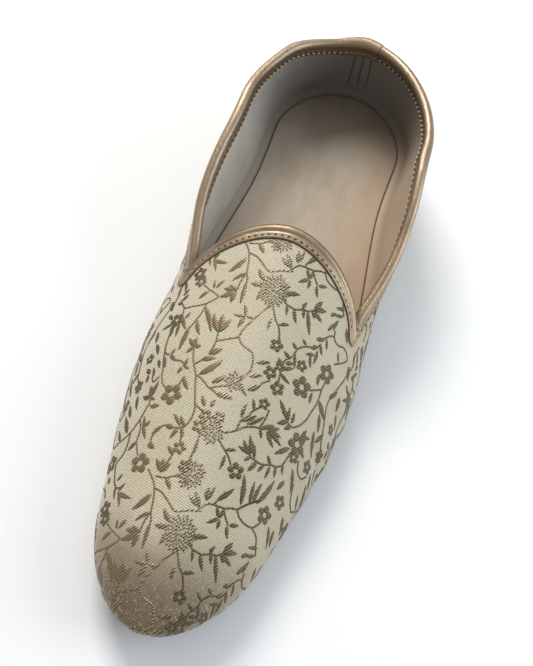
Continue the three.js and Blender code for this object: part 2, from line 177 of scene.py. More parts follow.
@dataclass(frozen=True)
class Last:
    """The last that the shoe is made on, with the sizes of the shoe's own outlines.

    A half outline is read at h, from 0 in the middle of the heel's back to 1 at the toe.
    """

    length: float = 285.0
    ball_width: float = 93.0
    instep_height: float = 57.0
    topline_width: float = 86.4
    topline_height: float = 57.0
    notch_spread: float = 73.4
    notch_from_heel: float = 142.0
    arch_from_heel: float = 120.0
    feather_tuck: float = 4.0
    feather_rise: float = 6.5
    heel_curve_lean: float = 1.0
    topline_lean: float = 4.0
    foot_bow: float = 1.5
    heel_round: float = 38.0
    topline_heel_round: float = 57.0
    toe_round: float = 46.5
    toe_crest_round: float = 27.5
    sole_thickness: float = 4.0
    heel_height: float = 6.5
    heel_seat_centre: float = 34.0
    toe_spring: float = 9.0
    clearance: float = 0.3
    quarter_blend: float = 42.0
    vamp_fullness: float = 1.95
    arch_fullness: float = 1.82
    toe_fullness: float = 2.65
    toe_crest_fullness: float = 2.2
    arch_corner_deg: float = 14.0
    seat_end: float = 0.25
    tread_start: float = 0.58
    tread_end: float = 0.75
    notch: float = 22 / 46
    arch_overrun: float = 0.02
    heel_bow_share: float = 0.3
    station_spread: float = 2.2

    # Widest line: share of the length, share of the ball width.
    GIRTH = np.array([(0.0, 0.73), (0.1, 0.775), (0.25, 0.77), (0.4, 0.89), (0.53, 0.98),
                      (0.62, 0.985), (0.72, 0.905), (0.82, 0.78), (0.92, 0.655), (1.0, 0.55)])
    # The vamp's ridge: share of the length, share of the instep height.
    RIDGE = np.array([(0.4, 1.01), (0.53, 0.905), (0.62, 0.835), (0.72, 0.745), (0.82, 0.65),
                      (0.92, 0.55), (1.0, 0.455)])
    # The topline behind the notches: shares of its own width and of its own height.
    TOPLINE_WIDTHS = np.array([(0.0, 0.85), (0.06, 0.905), (0.14, 0.963), (0.25, 1.0),
                               (0.38, 1.025)])
    TOPLINE_HEIGHTS = np.array([(0.0, 0.905), (0.06, 0.955), (0.14, 0.992), (0.25, 1.0),
                                (0.38, 0.79)])

    def sole_bottom(self, y: Array) -> Array:
        """Height of the outsole's underside: level seat, arch, level tread and toe spring."""
        at = y / self.length
        arch = self.heel_height * (1.0 - smoothstep(at, self.seat_end, self.tread_start))
        lift = np.maximum(at - self.tread_end, 0.0) / (1.0 - self.tread_end)
        return np.where(at < self.tread_start, arch, self.toe_spring * lift**2)

    def feather_height(self, y: Array) -> Array:
        """Height of the turned edge's lowest line, just over the sole."""
        return self.sole_bottom(y) + self.sole_thickness + self.clearance

    def girth_height(self, y: Array) -> Array:
        """Height of the last's widest line."""
        return self.feather_height(y) + self.feather_rise

    def girth_half(self, y: Array) -> Array:
        """Half of the last's width at its widest line."""
        full = self.ball_width / 2.0 * from_table(self.GIRTH, y / self.length)
        toe = rounded_end(self.length - y, self.toe_round, self.toe_fullness)
        return full * toe * rounded_end(y - self.heel_curve_lean, self.heel_round, 2.0)

    def ridge_height(self, y: Array) -> Array:
        """Height of the vamp on the centre line."""
        low = self.girth_height(y)
        full = self.instep_height * from_table(self.RIDGE, y / self.length)
        toe = rounded_end(self.length - y, self.toe_crest_round, self.toe_crest_fullness)
        return low + (full - low) * toe

    def section_point(self, y: Array, turn: Array) -> Array:
        """Point of the vamp's section: turn 0 on the ridge and a quarter turn at the girth.

        The section is a fuller half ellipse, x = half * sin(turn) and
        z = low + rise * (1 - sin(turn) ** fullness) ** (1 / fullness).
        """
        out = np.sin(turn)
        return np.stack(np.broadcast_arrays(self.girth_half(y) * out, y, self.vamp_height(y, out)), axis=-1)

    def vamp_height(self, y: Array, out: Array) -> Array:
        """Height of the vamp at out, 0 on the ridge and 1 at the girth."""
        arch = np.maximum(1.0 - out**self.vamp_fullness, 0.0) ** (1.0 / self.vamp_fullness)
        low = self.girth_height(y)
        return low + (self.ridge_height(y) - low) * arch

    def vamp_point(self, x: Array, y: Array) -> Array:
        """Point of the vamp over a place of the plan."""
        out = np.minimum(np.abs(x) / np.maximum(self.girth_half(y), STEP), 1.0)
        return np.stack(np.broadcast_arrays(x, y, self.vamp_height(y, out)), axis=-1)

    def vamp_normal(self, x: Array, y: Array) -> Array:
        """Direction out of the vamp over a place of the plan."""
        across = self.vamp_point(x + STEP, y) - self.vamp_point(x - STEP, y)
        along = self.vamp_point(x, y + STEP) - self.vamp_point(x, y - STEP)
        return unit(np.cross(across, along))

    def spread(self, t: Array) -> Array:
        """Even spacing along an outline that starts round a blunt end."""
        return (1.0 - np.cos(self.station_spread * t)) / (1.0 - np.cos(self.station_spread))

    def along_shoe(self, h: Array, back: float) -> Array:
        """Way along the shoe of a half outline whose back lies at the given y."""
        behind = back + (self.notch_from_heel - back) * self.spread(np.minimum(h / self.notch, 1.0))
        share = np.clip((1.0 - h) / (1.0 - self.notch), 0.0, 1.0)
        ahead = self.length - (self.length - self.notch_from_heel) * self.spread(share)
        return np.where(h <= self.notch, behind, ahead)

    def girth_point(self, h: Array) -> Array:
        """Point of the right half of the widest line."""
        y = self.along_shoe(h, self.heel_curve_lean)
        return np.stack([self.girth_half(y), y, self.girth_height(y)], axis=-1)

    def notch_point(self) -> Array:
        """The right notch, where the topline meets the vamp's arched edge."""
        return self.vamp_point(np.array(self.notch_spread / 2.0), np.array(self.notch_from_heel))

    def topline_point(self, h: Array) -> Array:
        """Point of the right half of the opening's edge behind the notch."""
        y = self.along_shoe(h, self.topline_lean)
        at_notch = self.notch_from_heel / self.length
        notch = self.notch_point()
        widths = np.vstack([self.TOPLINE_WIDTHS, (at_notch, self.notch_spread / self.topline_width)])
        heights = np.vstack([self.TOPLINE_HEIGHTS, (at_notch, notch[2] / self.topline_height)])
        half = self.topline_width / 2.0 * from_table(widths, y / self.length)
        end = rounded_end(y - self.topline_lean, self.topline_heel_round, 2.0)
        z = self.topline_height * from_table(heights, y / self.length)
        return np.stack([half * end, y, z], axis=-1)

    def arch_point(self, h: Array) -> Array:
        """Point of the vamp's arched edge, from the notch to its top on the centre line.

        The edge is part of a half ellipse on its side: it starts a few degrees round the
        ellipse, so that it meets the notch at an angle. It can be read a little past it.
        """
        corner = np.radians(self.arch_corner_deg)
        share = np.clip((h - self.notch) / (1.0 - self.notch), -self.arch_overrun, 1.0)
        angle = corner + (QUARTER_TURN - corner) * share
        across = np.maximum(np.cos(angle), 0.0) ** (2.0 / self.arch_fullness)
        x = self.notch_spread / 2.0 * across / np.cos(corner) ** (2.0 / self.arch_fullness)
        back = np.sin(angle) ** (2.0 / self.arch_fullness)
        way = (1.0 - back) / (1.0 - np.sin(corner) ** (2.0 / self.arch_fullness))
        y = self.arch_from_heel + (self.notch_from_heel - self.arch_from_heel) * way
        return self.vamp_point(x, y)

    def outward(self, outline: Curve, h: Array) -> Array:
        """Level direction away from the shoe, square to a half outline."""
        along = outline(np.minimum(h + STEP, 1.0)) - outline(np.maximum(h - STEP, 0.0))
        away = unit(np.stack([along[..., 1], -along[..., 0], np.zeros_like(h)], axis=-1))
        away = np.where((h <= 0.0)[..., None], np.array([0.0, -1.0, 0.0]), away)
        return np.where((h >= 1.0)[..., None], np.array([0.0, 1.0, 0.0]), away)

    def feather_point(self, h: Array, turn: Array) -> Array:
        """Point of the turned edge, a quarter ellipse: turn 0 on the sole and 1 at the girth."""
        angle = turn * QUARTER_TURN
        tuck = self.feather_tuck * (1.0 - np.sin(angle))
        point = self.girth_point(h) - self.outward(self.girth_point, h) * tuck[..., None]
        point[..., 2] = self.feather_height(point[..., 1]) + self.feather_rise * (1.0 - np.cos(angle))
        return point

    def vamp_wall(self, h: Array, rise: Array) -> Array:
        """Point of the vamp's wall, from the girth (rise 0) to the arched edge (rise 1)."""
        across = (1.0 - np.cos(rise * QUARTER_TURN))[..., None]
        plan = self.girth_point(h) * (1.0 - across) + self.arch_point(h) * across
        return self.vamp_point(plan[..., 0], plan[..., 1])

    def quarter_wall(self, h: Array, rise: Array) -> Array:
        """Point of the quarter's wall: a straight line from girth to topline, bowed outwards.

        The bow is the one of the section at the notch, and fades towards the heel.
        """
        low, top = self.girth_point(h), self.topline_point(h)
        at_notch = np.full_like(rise, self.notch)
        foot, notch = self.girth_point(np.array(self.notch)), self.notch_point()
        section = self.vamp_wall(at_notch, rise)
        share = (section[..., 2] - foot[2]) / (notch[2] - foot[2])
        bow = section[..., 0] - (foot[0] + (notch[0] - foot[0]) * share)
        near = smoothstep(low[..., 1], self.notch_from_heel - self.quarter_blend, self.notch_from_heel)
        keep = self.heel_bow_share + (1.0 - self.heel_bow_share) * near
        line = low * (1.0 - share[..., None]) + top * share[..., None]
        return line + self.outward(self.topline_point, h) * (bow * keep)[..., None]

    def wall_point(self, h: Array, rise: Array) -> Array:
        """Point of the upper's wall, from the girth (rise 0) to the opening's edge (rise 1)."""
        h, rise = np.broadcast_arrays(h, rise)
        behind = (h < self.notch)[..., None]
        return np.where(behind, self.quarter_wall(h, rise), self.vamp_wall(h, rise))

    def quarter_normal(self, h: Array, rise: Array) -> Array:
        """Direction out of the quarter's wall."""
        side = self.quarter_wall(h + STEP, rise) - self.quarter_wall(np.maximum(h - STEP, 0.0), rise)
        up = self.quarter_wall(h, rise) - self.quarter_wall(h, rise - STEP)
        normal = np.cross(side, up)
        normal[..., 0] = np.where(h <= 0.0, 0.0, normal[..., 0])
        return unit(normal)

    def bow(self, y: Array) -> Array:
        """Sideways shift of a left shoe's middle line, most at half of its length."""
        at = y / self.length
        return -4.0 * self.foot_bow * at * (1.0 - at)

    def in_frame(self, points: Array) -> Array:
        """Bow points of the straight last and move them into the shared frame, in metres."""
        moved = points + sum(push.shift(points) for push in COLLAR_PUSHES)
        moved[..., 0] += self.bow(points[..., 1]) - self.bow(np.array(self.heel_seat_centre))
        moved[..., 1] -= self.heel_seat_centre
        return moved * MM


@dataclass(frozen=True)
class Fold:
    """Soft trough or ridge in the cloth of one side's wall, on a line up that wall.

    Attributes:
        side: 1 for the wearer's right side and -1 for the left.
        foot: Way along the shoe and height of the line's lower end.
        head: The same for its upper end.
        width: Half of the trough's width.
        depth: How far the cloth sinks; a ridge is negative.
    """

    side: int
    foot: tuple[float, float]
    head: tuple[float, float]
    width: float
    depth: float

    # Shares of the line between which the fold starts, and between which it ends.
    START = (-0.2, 0.25)
    END = (0.7, 1.15)

    def sink(self, points: Array) -> Array:
        """Depth of the fold at points of the last.

        The depth falls off as a bell with the distance to the line, and it fades out round
        both ends of the line.
        """
        foot, head = np.array(self.foot), np.array(self.head)
        way = head - foot
        offset = points[..., 1:3] - foot
        along = offset @ way / (way @ way)
        across = (offset[..., 0] * way[1] - offset[..., 1] * way[0]) / np.linalg.norm(way)
        fade = smoothstep(along, *self.START) * (1.0 - smoothstep(along, *self.END))
        near = points[..., 0] * self.side > 0.0
        return self.depth * np.exp(-((across / self.width) ** 2)) * fade * near


class Drape:
    """The cloth's small departures from the last, given one by one."""

    FOLDS = (
        Fold(-1, (168.0, 8.0), (158.0, 34.0), 3.2, 0.55),
        Fold(-1, (176.0, 8.0), (170.0, 32.0), 2.6, -0.35),
        Fold(-1, (185.0, 7.0), (176.0, 34.0), 3.4, 0.7),
        Fold(-1, (196.0, 7.0), (188.0, 30.0), 2.8, -0.35),
        Fold(-1, (206.0, 7.0), (196.0, 30.0), 3.2, 0.6),
        Fold(-1, (221.0, 8.0), (212.0, 27.0), 3.0, 0.4),
        Fold(-1, (150.0, 8.0), (139.0, 30.0), 3.5, 0.45),
        Fold(-1, (128.0, 10.0), (118.0, 40.0), 4.5, 0.4),
        Fold(1, (182.0, 8.0), (172.0, 30.0), 3.5, 0.4),
        Fold(1, (204.0, 7.0), (196.0, 28.0), 3.0, 0.35),
        Fold(1, (132.0, 10.0), (124.0, 36.0), 4.5, 0.35),
        Fold(1, (60.0, 14.0), (70.0, 44.0), 6.0, 0.3),
        Fold(-1, (66.0, 14.0), (74.0, 44.0), 6.0, 0.3),
    )

    @classmethod
    def sink(cls, points: Array) -> Array:
        """Depth of all folds together at points of the last."""
        return sum(fold.sink(points) for fold in cls.FOLDS)


@dataclass(frozen=True)
class Skin:
    """Grid of points over the whole upper, with the directions out of it.

    Attributes:
        points: Rows from the lasting margin to the opening's edge, each a closed ring.
        normals: Directions out of the upper at those points.
        cloth: Places on the flat cloth, in millimetres.
    """

    points: Array
    normals: Array
    cloth: Array


class ClothLay:
    """How the flat brocade lies over the last.

    The cloth's first coordinate runs across the shoe from the middle line, to the wearer's
    right, and the second along it, from 0 at the notches towards the toe. On the vamp both
    are lengths on the surface: along the section, and along the ridge. Behind the notches
    the first falls with the way up the wall, and the second with the way round the girth.
    """

    SECTIONS = 241
    TURNS = 121
    QUARTERS = 161
    RISES = 81
    FEATHER_SAMPLES = 61
    FRONT_SAMPLES = 321
    ARCH_SAMPLES = 161
    SPLIT_SLOPE = 0.45

    # Directions are taken over these ways, and this far inside the section and the toe.
    TURN_STEP = 0.01
    WAY_STEP = 0.1
    TURN_INSIDE = 0.02
    TOE_INSIDE = 0.4

    def __init__(self, last: Last) -> None:
        """Measure the cloth on a last."""
        self.last = last
        self._measure_vamp()
        self._measure_quarters()
        self._measure_feather()

    def _measure_vamp(self) -> None:
        """Tabulate lengths along the ridge and round the vamp's sections."""
        last = self.last
        ease = np.sin(np.linspace(0.0, QUARTER_TURN, self.SECTIONS))
        self.stations = last.arch_from_heel + (last.length - last.arch_from_heel) * ease
        ridge = last.section_point(self.stations, np.zeros_like(self.stations))
        along = running_length(ridge)
        self.along = along - np.interp(last.notch_from_heel, self.stations, along)
        turns = np.linspace(0.0, QUARTER_TURN, self.TURNS)
        arcs = running_length(last.section_point(self.stations[:, None], turns[None, :]), axis=1)
        self.half_arc = arcs[:, -1]
        self.arc_share = arcs / np.maximum(self.half_arc[:, None], 1e-9)
        self.arc_share[-1] = np.linspace(0.0, 1.0, self.TURNS)
        even = np.linspace(0.0, 1.0, self.TURNS)
        self.turn_at = np.array([np.interp(even, share, turns) for share in self.arc_share])
        self.notch_arc = float(np.interp(last.notch_from_heel, self.stations, self.half_arc))

    def _measure_quarters(self) -> None:
        """Tabulate lengths round the girth and up the quarters."""
        last = self.last
        self.quarter_h = np.linspace(0.0, last.notch, self.QUARTERS)
        rises = np.linspace(0.0, 1.0, self.RISES)
        walls = last.quarter_wall(*np.broadcast_arrays(self.quarter_h[:, None], rises[None, :]))
        heights = running_length(walls, axis=1)
        self.wall_height = heights[:, -1]
        even = np.linspace(0.0, 1.0, self.RISES)
        shares = heights / self.wall_height[:, None]
        self.rise_at = np.array([np.interp(even, share, rises) for share in shares])
        run = running_length(last.girth_point(self.quarter_h))
        self.behind = run[-1] - run

    def _measure_feather(self) -> None:
        """Tabulate the turned edge's length and the girth's line on the cloth."""
        last = self.last
        turns = np.linspace(0.0, 1.0, self.FEATHER_SAMPLES)
        angle = turns * QUARTER_TURN
        tuck, rise = last.feather_tuck * np.sin(angle), last.feather_rise * np.cos(angle)
        run = running_length(np.stack([tuck, -rise], axis=-1))
        self.feather_turns = turns
        self.feather_down = run[-1] - run
        self.front_h = np.linspace(last.notch, 1.0, self.FRONT_SAMPLES)
        y = last.girth_point(self.front_h)[:, 1]
        self.front_line = np.stack([np.interp(y, self.stations, self.half_arc),
                                    np.interp(y, self.stations, self.along)], axis=-1)
        tangent = unit(np.gradient(self.front_line, axis=0))
        self.front_out = np.stack([tangent[:, 1], -tangent[:, 0]], axis=-1)
        arch_h = np.linspace(1.0, last.notch, self.ARCH_SAMPLES)
        arch = last.arch_point(arch_h)
        self.arch_x, self.arch_y = arch[:, 0], arch[:, 1]

    def ring_cloth(self, h: Array, points: Array, girth_row: int) -> Array:
        """Places on the cloth of a grid of points over the right half.

        Args:
            h: Half outline's reading of each column.
            points: Rows from the margin to the opening's edge.
            girth_row: The row that lies on the girth.

        Returns:
            The cloth's two coordinates at each point.
        """
        lengths = running_length(points, axis=0)
        up = lengths - lengths[girth_row]
        behind = h < self.last.notch
        back = np.interp(h, self.quarter_h, self.behind)
        quarter = np.stack([self.notch_arc - up, np.broadcast_to(-back, up.shape)], axis=-1)
        y = points[..., 1]
        station = np.interp(y, self.stations, np.arange(self.SECTIONS))
        half = np.maximum(self.last.girth_half(y), STEP)
        turn = np.arcsin(np.clip(np.abs(points[..., 0]) / half, 0.0, 1.0))
        share = bilinear(self.arc_share, station, turn / QUARTER_TURN * (self.TURNS - 1))
        across = share * np.interp(y, self.stations, self.half_arc)
        vamp = np.stack([across, np.interp(y, self.stations, self.along)], axis=-1)
        line = np.stack([np.interp(h, self.front_h, self.front_line[:, k]) for k in range(2)], axis=-1)
        out = np.stack([np.interp(h, self.front_h, self.front_out[:, k]) for k in range(2)], axis=-1)
        under = line - out * up[..., None]
        below = (np.arange(len(points)) < girth_row)[:, None, None]
        vamp = np.where(below, under, vamp)
        return np.where(behind[None, :, None], quarter, vamp)

    def place(self, cloth: Array) -> tuple[Array, Array, Array, Array]:
        """Find places of the cloth on the last.

        Places past an edge of the cloth are held at that edge.

        Args:
            cloth: The cloth's two coordinates.

        Returns:
            Points, directions out of the cloth, whether each place was past an edge, and
            whether it lies behind the notches.
        """
        side = np.where(cloth[..., 0] < 0.0, -1.0, 1.0)
        a, b = np.abs(cloth[..., 0]), cloth[..., 1]
        notch_a = self.notch_arc - self.wall_height[-1]
        behind = (b < 0.0) & (a > notch_a + b * self.SPLIT_SLOPE)
        front_point, front_normal, front_past = self._place_front(a, b)
        back_point, back_normal, back_past = self._place_back(a, b)
        pick = behind[..., None]
        points = np.where(pick, back_point, front_point)
        normals = np.where(pick, back_normal, front_normal)
        points[..., 0] *= side
        normals[..., 0] *= side
        return points, normals, np.where(behind, back_past, front_past), behind

    def _place_front(self, a: Array, b: Array) -> tuple[Array, Array, Array]:
        """Find places of the vamp's cloth, on the right half."""
        last = self.last
        y = np.interp(b, self.along, self.stations)
        half = np.interp(y, self.stations, self.half_arc)
        under = (a > half) | (b > self.along[-1])
        station = np.interp(y, self.stations, np.arange(self.SECTIONS))
        share = np.clip(a / np.maximum(half, 1e-6), 0.0, 1.0)
        turn = bilinear(self.turn_at, station, share * (self.TURNS - 1))
        edge = np.interp(last.girth_half(y) * np.sin(turn), self.arch_x, self.arch_y)
        past = (y < edge) & ~under
        y = np.where(under, y, np.maximum(y, edge))
        point = last.section_point(y, turn)
        turn = np.clip(turn, self.TURN_INSIDE, QUARTER_TURN - self.TURN_INSIDE)
        y = np.minimum(y, last.length - self.TOE_INSIDE)
        step, way = self.TURN_STEP, self.WAY_STEP
        across = last.section_point(y, turn + step) - last.section_point(y, turn - step)
        along = last.section_point(y + way, turn) - last.section_point(y - way, turn)
        normal = unit(np.cross(across, along))
        gap = np.stack([a, b], axis=-1)[under]
        if len(gap):
            apart = np.linalg.norm(gap[:, None, :] - self.front_line[None, :, :], axis=-1)
            nearest = np.argmin(apart, axis=1)
            down = apart[np.arange(len(gap)), nearest]
            low_point, low_normal = self._turned_edge(self.front_h[nearest], down)
            point[under], normal[under] = low_point, low_normal
            past[under] = down > self.feather_down[0]
        return point, normal, past

    def _place_back(self, a: Array, b: Array) -> tuple[Array, Array, Array]:
        """Find places of the quarter's cloth, on the right half."""
        back = np.clip(-b, 0.0, self.behind[0])
        row = np.interp(-back, -self.behind, np.arange(self.QUARTERS))
        h = np.interp(-back, -self.behind, self.quarter_h)
        height = np.interp(h, self.quarter_h, self.wall_height)
        share = (self.notch_arc - a) / height
        rise = bilinear(self.rise_at, row, np.clip(share, 0.0, 1.0) * (self.RISES - 1))
        point = self.last.quarter_wall(h, rise)
        normal = self.last.quarter_normal(h, np.maximum(rise, 2.0 * STEP))
        past = (share > 1.0) | (-b > self.behind[0])
        under = share < 0.0
        if under.any():
            down = (a - self.notch_arc)[under]
            point[under], normal[under] = self._turned_edge(h[under], down)
            past[under] |= down > self.feather_down[0]
        return point, normal, past

    def _turned_edge(self, h: Array, down: Array) -> tuple[Array, Array]:
        """Points and directions of the turned edge, at a way down from the girth."""
        last = self.last
        turn = np.interp(-down, -self.feather_down, self.feather_turns)
        turn = np.clip(turn, self.TURN_INSIDE, 1.0)
        point = last.feather_point(h, turn)
        up = point - last.feather_point(h, turn - self.TURN_STEP)
        inner = np.clip(h, STEP, 1.0 - STEP)
        side = last.feather_point(inner + STEP, turn) - last.feather_point(inner - STEP, turn)
        return point, unit(np.cross(side, up))


@dataclass(frozen=True)
class UpperGrid:
    """Fine grid of stations round the upper and rows up its wall."""

    half_steps: int = 276
    margin_rows: int = 3
    feather_rows: int = 8
    wall_rows: int = 38
    lasting_margin: float = 12.0

    def skin(self, last: Last, lay: ClothLay) -> Skin:
        """Work out the upper's outer face.

        The rows run over the lasting margin, up the turned edge and up the wall. The right
        half is worked out and mirrored.

        Args:
            last: The last under the upper.
            lay: How the cloth lies on it.

        Returns:
            The grid over both halves, with the folds pressed in.
        """
        h = np.arange(self.half_steps + 1) / self.half_steps
        girth_row = self.margin_rows + self.feather_rows
        foot = last.feather_point(h, np.zeros_like(h))
        away = last.outward(last.girth_point, h)
        rows = []
        for share in np.linspace(1.0, 0.0, self.margin_rows, endpoint=False):
            under = foot - away * self.lasting_margin * share
            under[:, 2] = last.feather_height(under[:, 1])
            rows.append(under)
        for turn in np.linspace(0.0, 1.0, self.feather_rows + 1):
            rows.append(last.feather_point(h, np.full_like(h, turn)))
        for rise in np.linspace(0.0, 1.0, self.wall_rows + 1)[1:]:
            rows.append(last.wall_point(h, np.full_like(h, rise)))
        right = np.array(rows)
        points = closed(right)
        places = closed(lay.ring_cloth(h, right, girth_row))
        around = np.roll(points, -1, axis=1) - np.roll(points, 1, axis=1)
        normals = unit(np.cross(around, np.gradient(points, axis=0)))
        points = points - normals * Drape.sink(points)[..., None]
        return Skin(points, normals, places)


def grid_quads(rows: int, columns: int, wrap_rows: bool, wrap_columns: bool) -> Array:
    """Number the four corners of each patch of a grid of points stored row by row."""
    r = np.arange(rows if wrap_rows else rows - 1)
    c = np.arange(columns if wrap_columns else columns - 1)
    row, column = np.meshgrid(r, c, indexing="ij")
    above, beside = (row + 1) % rows, (column + 1) % columns
    corners = [row * columns + column, row * columns + beside, above * columns + beside,
               above * columns + column]
    return np.stack(corners, axis=-1).reshape(-1, 4)


def tube_quads(rows: int, ring: int) -> Array:
    """Faces of a tube of rings, each of its ends closed by a strip of patches."""
    sides = grid_quads(rows, ring, False, True)
    i = np.arange(ring // 2 - 1)
    end = np.stack([i, i + 1, ring - 2 - i, ring - 1 - i], axis=-1)
    return np.concatenate([sides, end[:, ::-1], end + (rows - 1) * ring])


def many_tubes(count: int, rows: int, ring: int) -> Array:
    """Faces of a number of equal tubes, whose points are stored tube by tube."""
    start = np.arange(count) * rows * ring
    return (tube_quads(rows, ring)[None] + start[:, None, None]).reshape(-1, 4)


class Maker:
    """Turns arrays of points and faces into mesh objects that ride on the shoe."""

    def __init__(self, last: Last) -> None:
        """Keep the last that all pieces are made on."""
        self.last = last

    def piece(self, name: str, points: Array, quads: Array, finish: bpy.types.Material, slot: str,
              triangles: Array | None = None, cloth: Array | None = None,
              replaces: Sequence[str] = (), sharp_deg: float = 50.0) -> None:
        """Make one closed piece from points of the straight last.

        Args:
            name: The piece's name.
            points: Points in millimetres, in any grid shape.
            quads: Four-sided faces over the numbered points.
            finish: The piece's material.
            slot: The record's slot that the finish belongs to; not used.
            triangles: Three-sided faces, if there are any.
            cloth: Places on the cloth for each point, kept as the piece's own map.
            replaces: CAD nodes that the piece stands for.
            sharp_deg: Edges that bend more than this stay sharp.
        """
        flat = self.last.in_frame(points.reshape(-1, 3))
        corners = [quads.reshape(-1, 4)] + ([] if triangles is None else [triangles.reshape(-1, 3)])
        if self._volume(flat, corners) < 0.0:
            corners = [face[:, ::-1] for face in corners]
        faces = [face for group in corners for face in group.tolist()]
        mesh = bpy.data.meshes.new(name)
        mesh.from_pydata(flat.tolist(), [], faces)
        mesh.materials.append(finish)
        if cloth is not None:
            index = np.empty(len(mesh.loops), dtype=np.int32)
            mesh.loops.foreach_get("vertex_index", index)
            layer = mesh.uv_layers.new(name="cloth")
            layer.uv.foreach_set("vector", cloth.reshape(-1, 2)[index].astype(np.float32).ravel())
        mesh.shade_smooth()
        mesh.set_sharp_from_angle(angle=np.radians(sharp_deg))
        mesh.validate()
        made = bpy.data.objects.new(name, mesh)
        bpy.context.scene.collection.objects.link(made)
        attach(made, BODY)
        if replaces:
            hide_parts(*replaces)
        LOG.info("%s: %d faces", name, len(faces))

    @staticmethod
    def _volume(points: Array, groups: Sequence[Array]) -> float:
        """Six times the volume that closed faces hold, negative where they point inwards."""
        total = 0.0
        for group in groups:
            for second in range(1, group.shape[1] - 1):
                a, b, c = (points[group[:, k]] for k in (0, second, second + 1))
                total += float(np.einsum("ij,ij->", a, np.cross(b, c)))
        return total


def shell(outer: Array, inner: Array) -> tuple[Array, Array]:
    """Close an outer and an inner skin, both grids of rings, into one wall.

    Args:
        outer: Outer rows of closed rings.
        inner: Inner rows, in the same order.

    Returns:
        The points of all rings and the faces of the closed wall.
    """
    rings = np.concatenate([outer, inner[::-1]], axis=0)
    return rings, grid_quads(len(rings), rings.shape[1], True, True)


def stack(rings: Array, columns: int) -> tuple[Array, Array, Array]:
    """Close a stack of mirrored rings by a lid of cross rows at each end.

    Args:
        rings: Rings of points from the lowest to the highest, each starting at the heel.
        columns: Steps across the shoe in each lid.

    Returns:
        All points, the four-sided faces and the three-sided ones.
    """
    rows, count = rings.shape[:2]
    half = count // 2
    points = [rings.reshape(-1, 3)]
    quads = [grid_quads(rows, count, False, True)]
    triangles = []
    used = rows * count
    right = np.arange(1, half)[:, None]
    left = count - right
    share = np.linspace(0.0, 1.0, columns + 1)[1:-1, None]
    for row, up in ((0, False), (rows - 1, True)):
        ring, first = rings[row], row * count
        inner = ring[right] * (1.0 - share) + ring[left] * share
        points.append(inner.reshape(-1, 3))
        number = used + np.arange(inner[..., 0].size).reshape(inner.shape[:2])
        used += number.size
        cross = np.concatenate([first + right, number, first + left], axis=1)
        patch = np.stack([cross[:-1, :-1], cross[1:, :-1], cross[1:, 1:], cross[:-1, 1:]], axis=-1)
        heel = np.stack([np.full(columns, first), cross[0, :-1], cross[0, 1:]], axis=-1)
        toe = np.stack([cross[-1, :-1], np.full(columns, first + half), cross[-1, 1:]], axis=-1)
        ends = np.concatenate([heel, toe])
        quads.append(patch.reshape(-1, 4) if up else patch.reshape(-1, 4)[:, ::-1])
        triangles.append(ends if up else ends[:, ::-1])
    return np.concatenate(points), np.concatenate(quads), np.concatenate(triangles)


def srgb(red: float, green: float, blue: float) -> tuple[float, float, float, float]:
    """Turn a colour read on a screen, 0 to 255, into the shader's linear one."""
    values = np.array([red, green, blue]) / 255.0
    linear = np.where(values <= 0.04045, values / 12.92, ((values + 0.055) / 1.055) ** 2.4)
    return (float(linear[0]), float(linear[1]), float(linear[2]), 1.0)


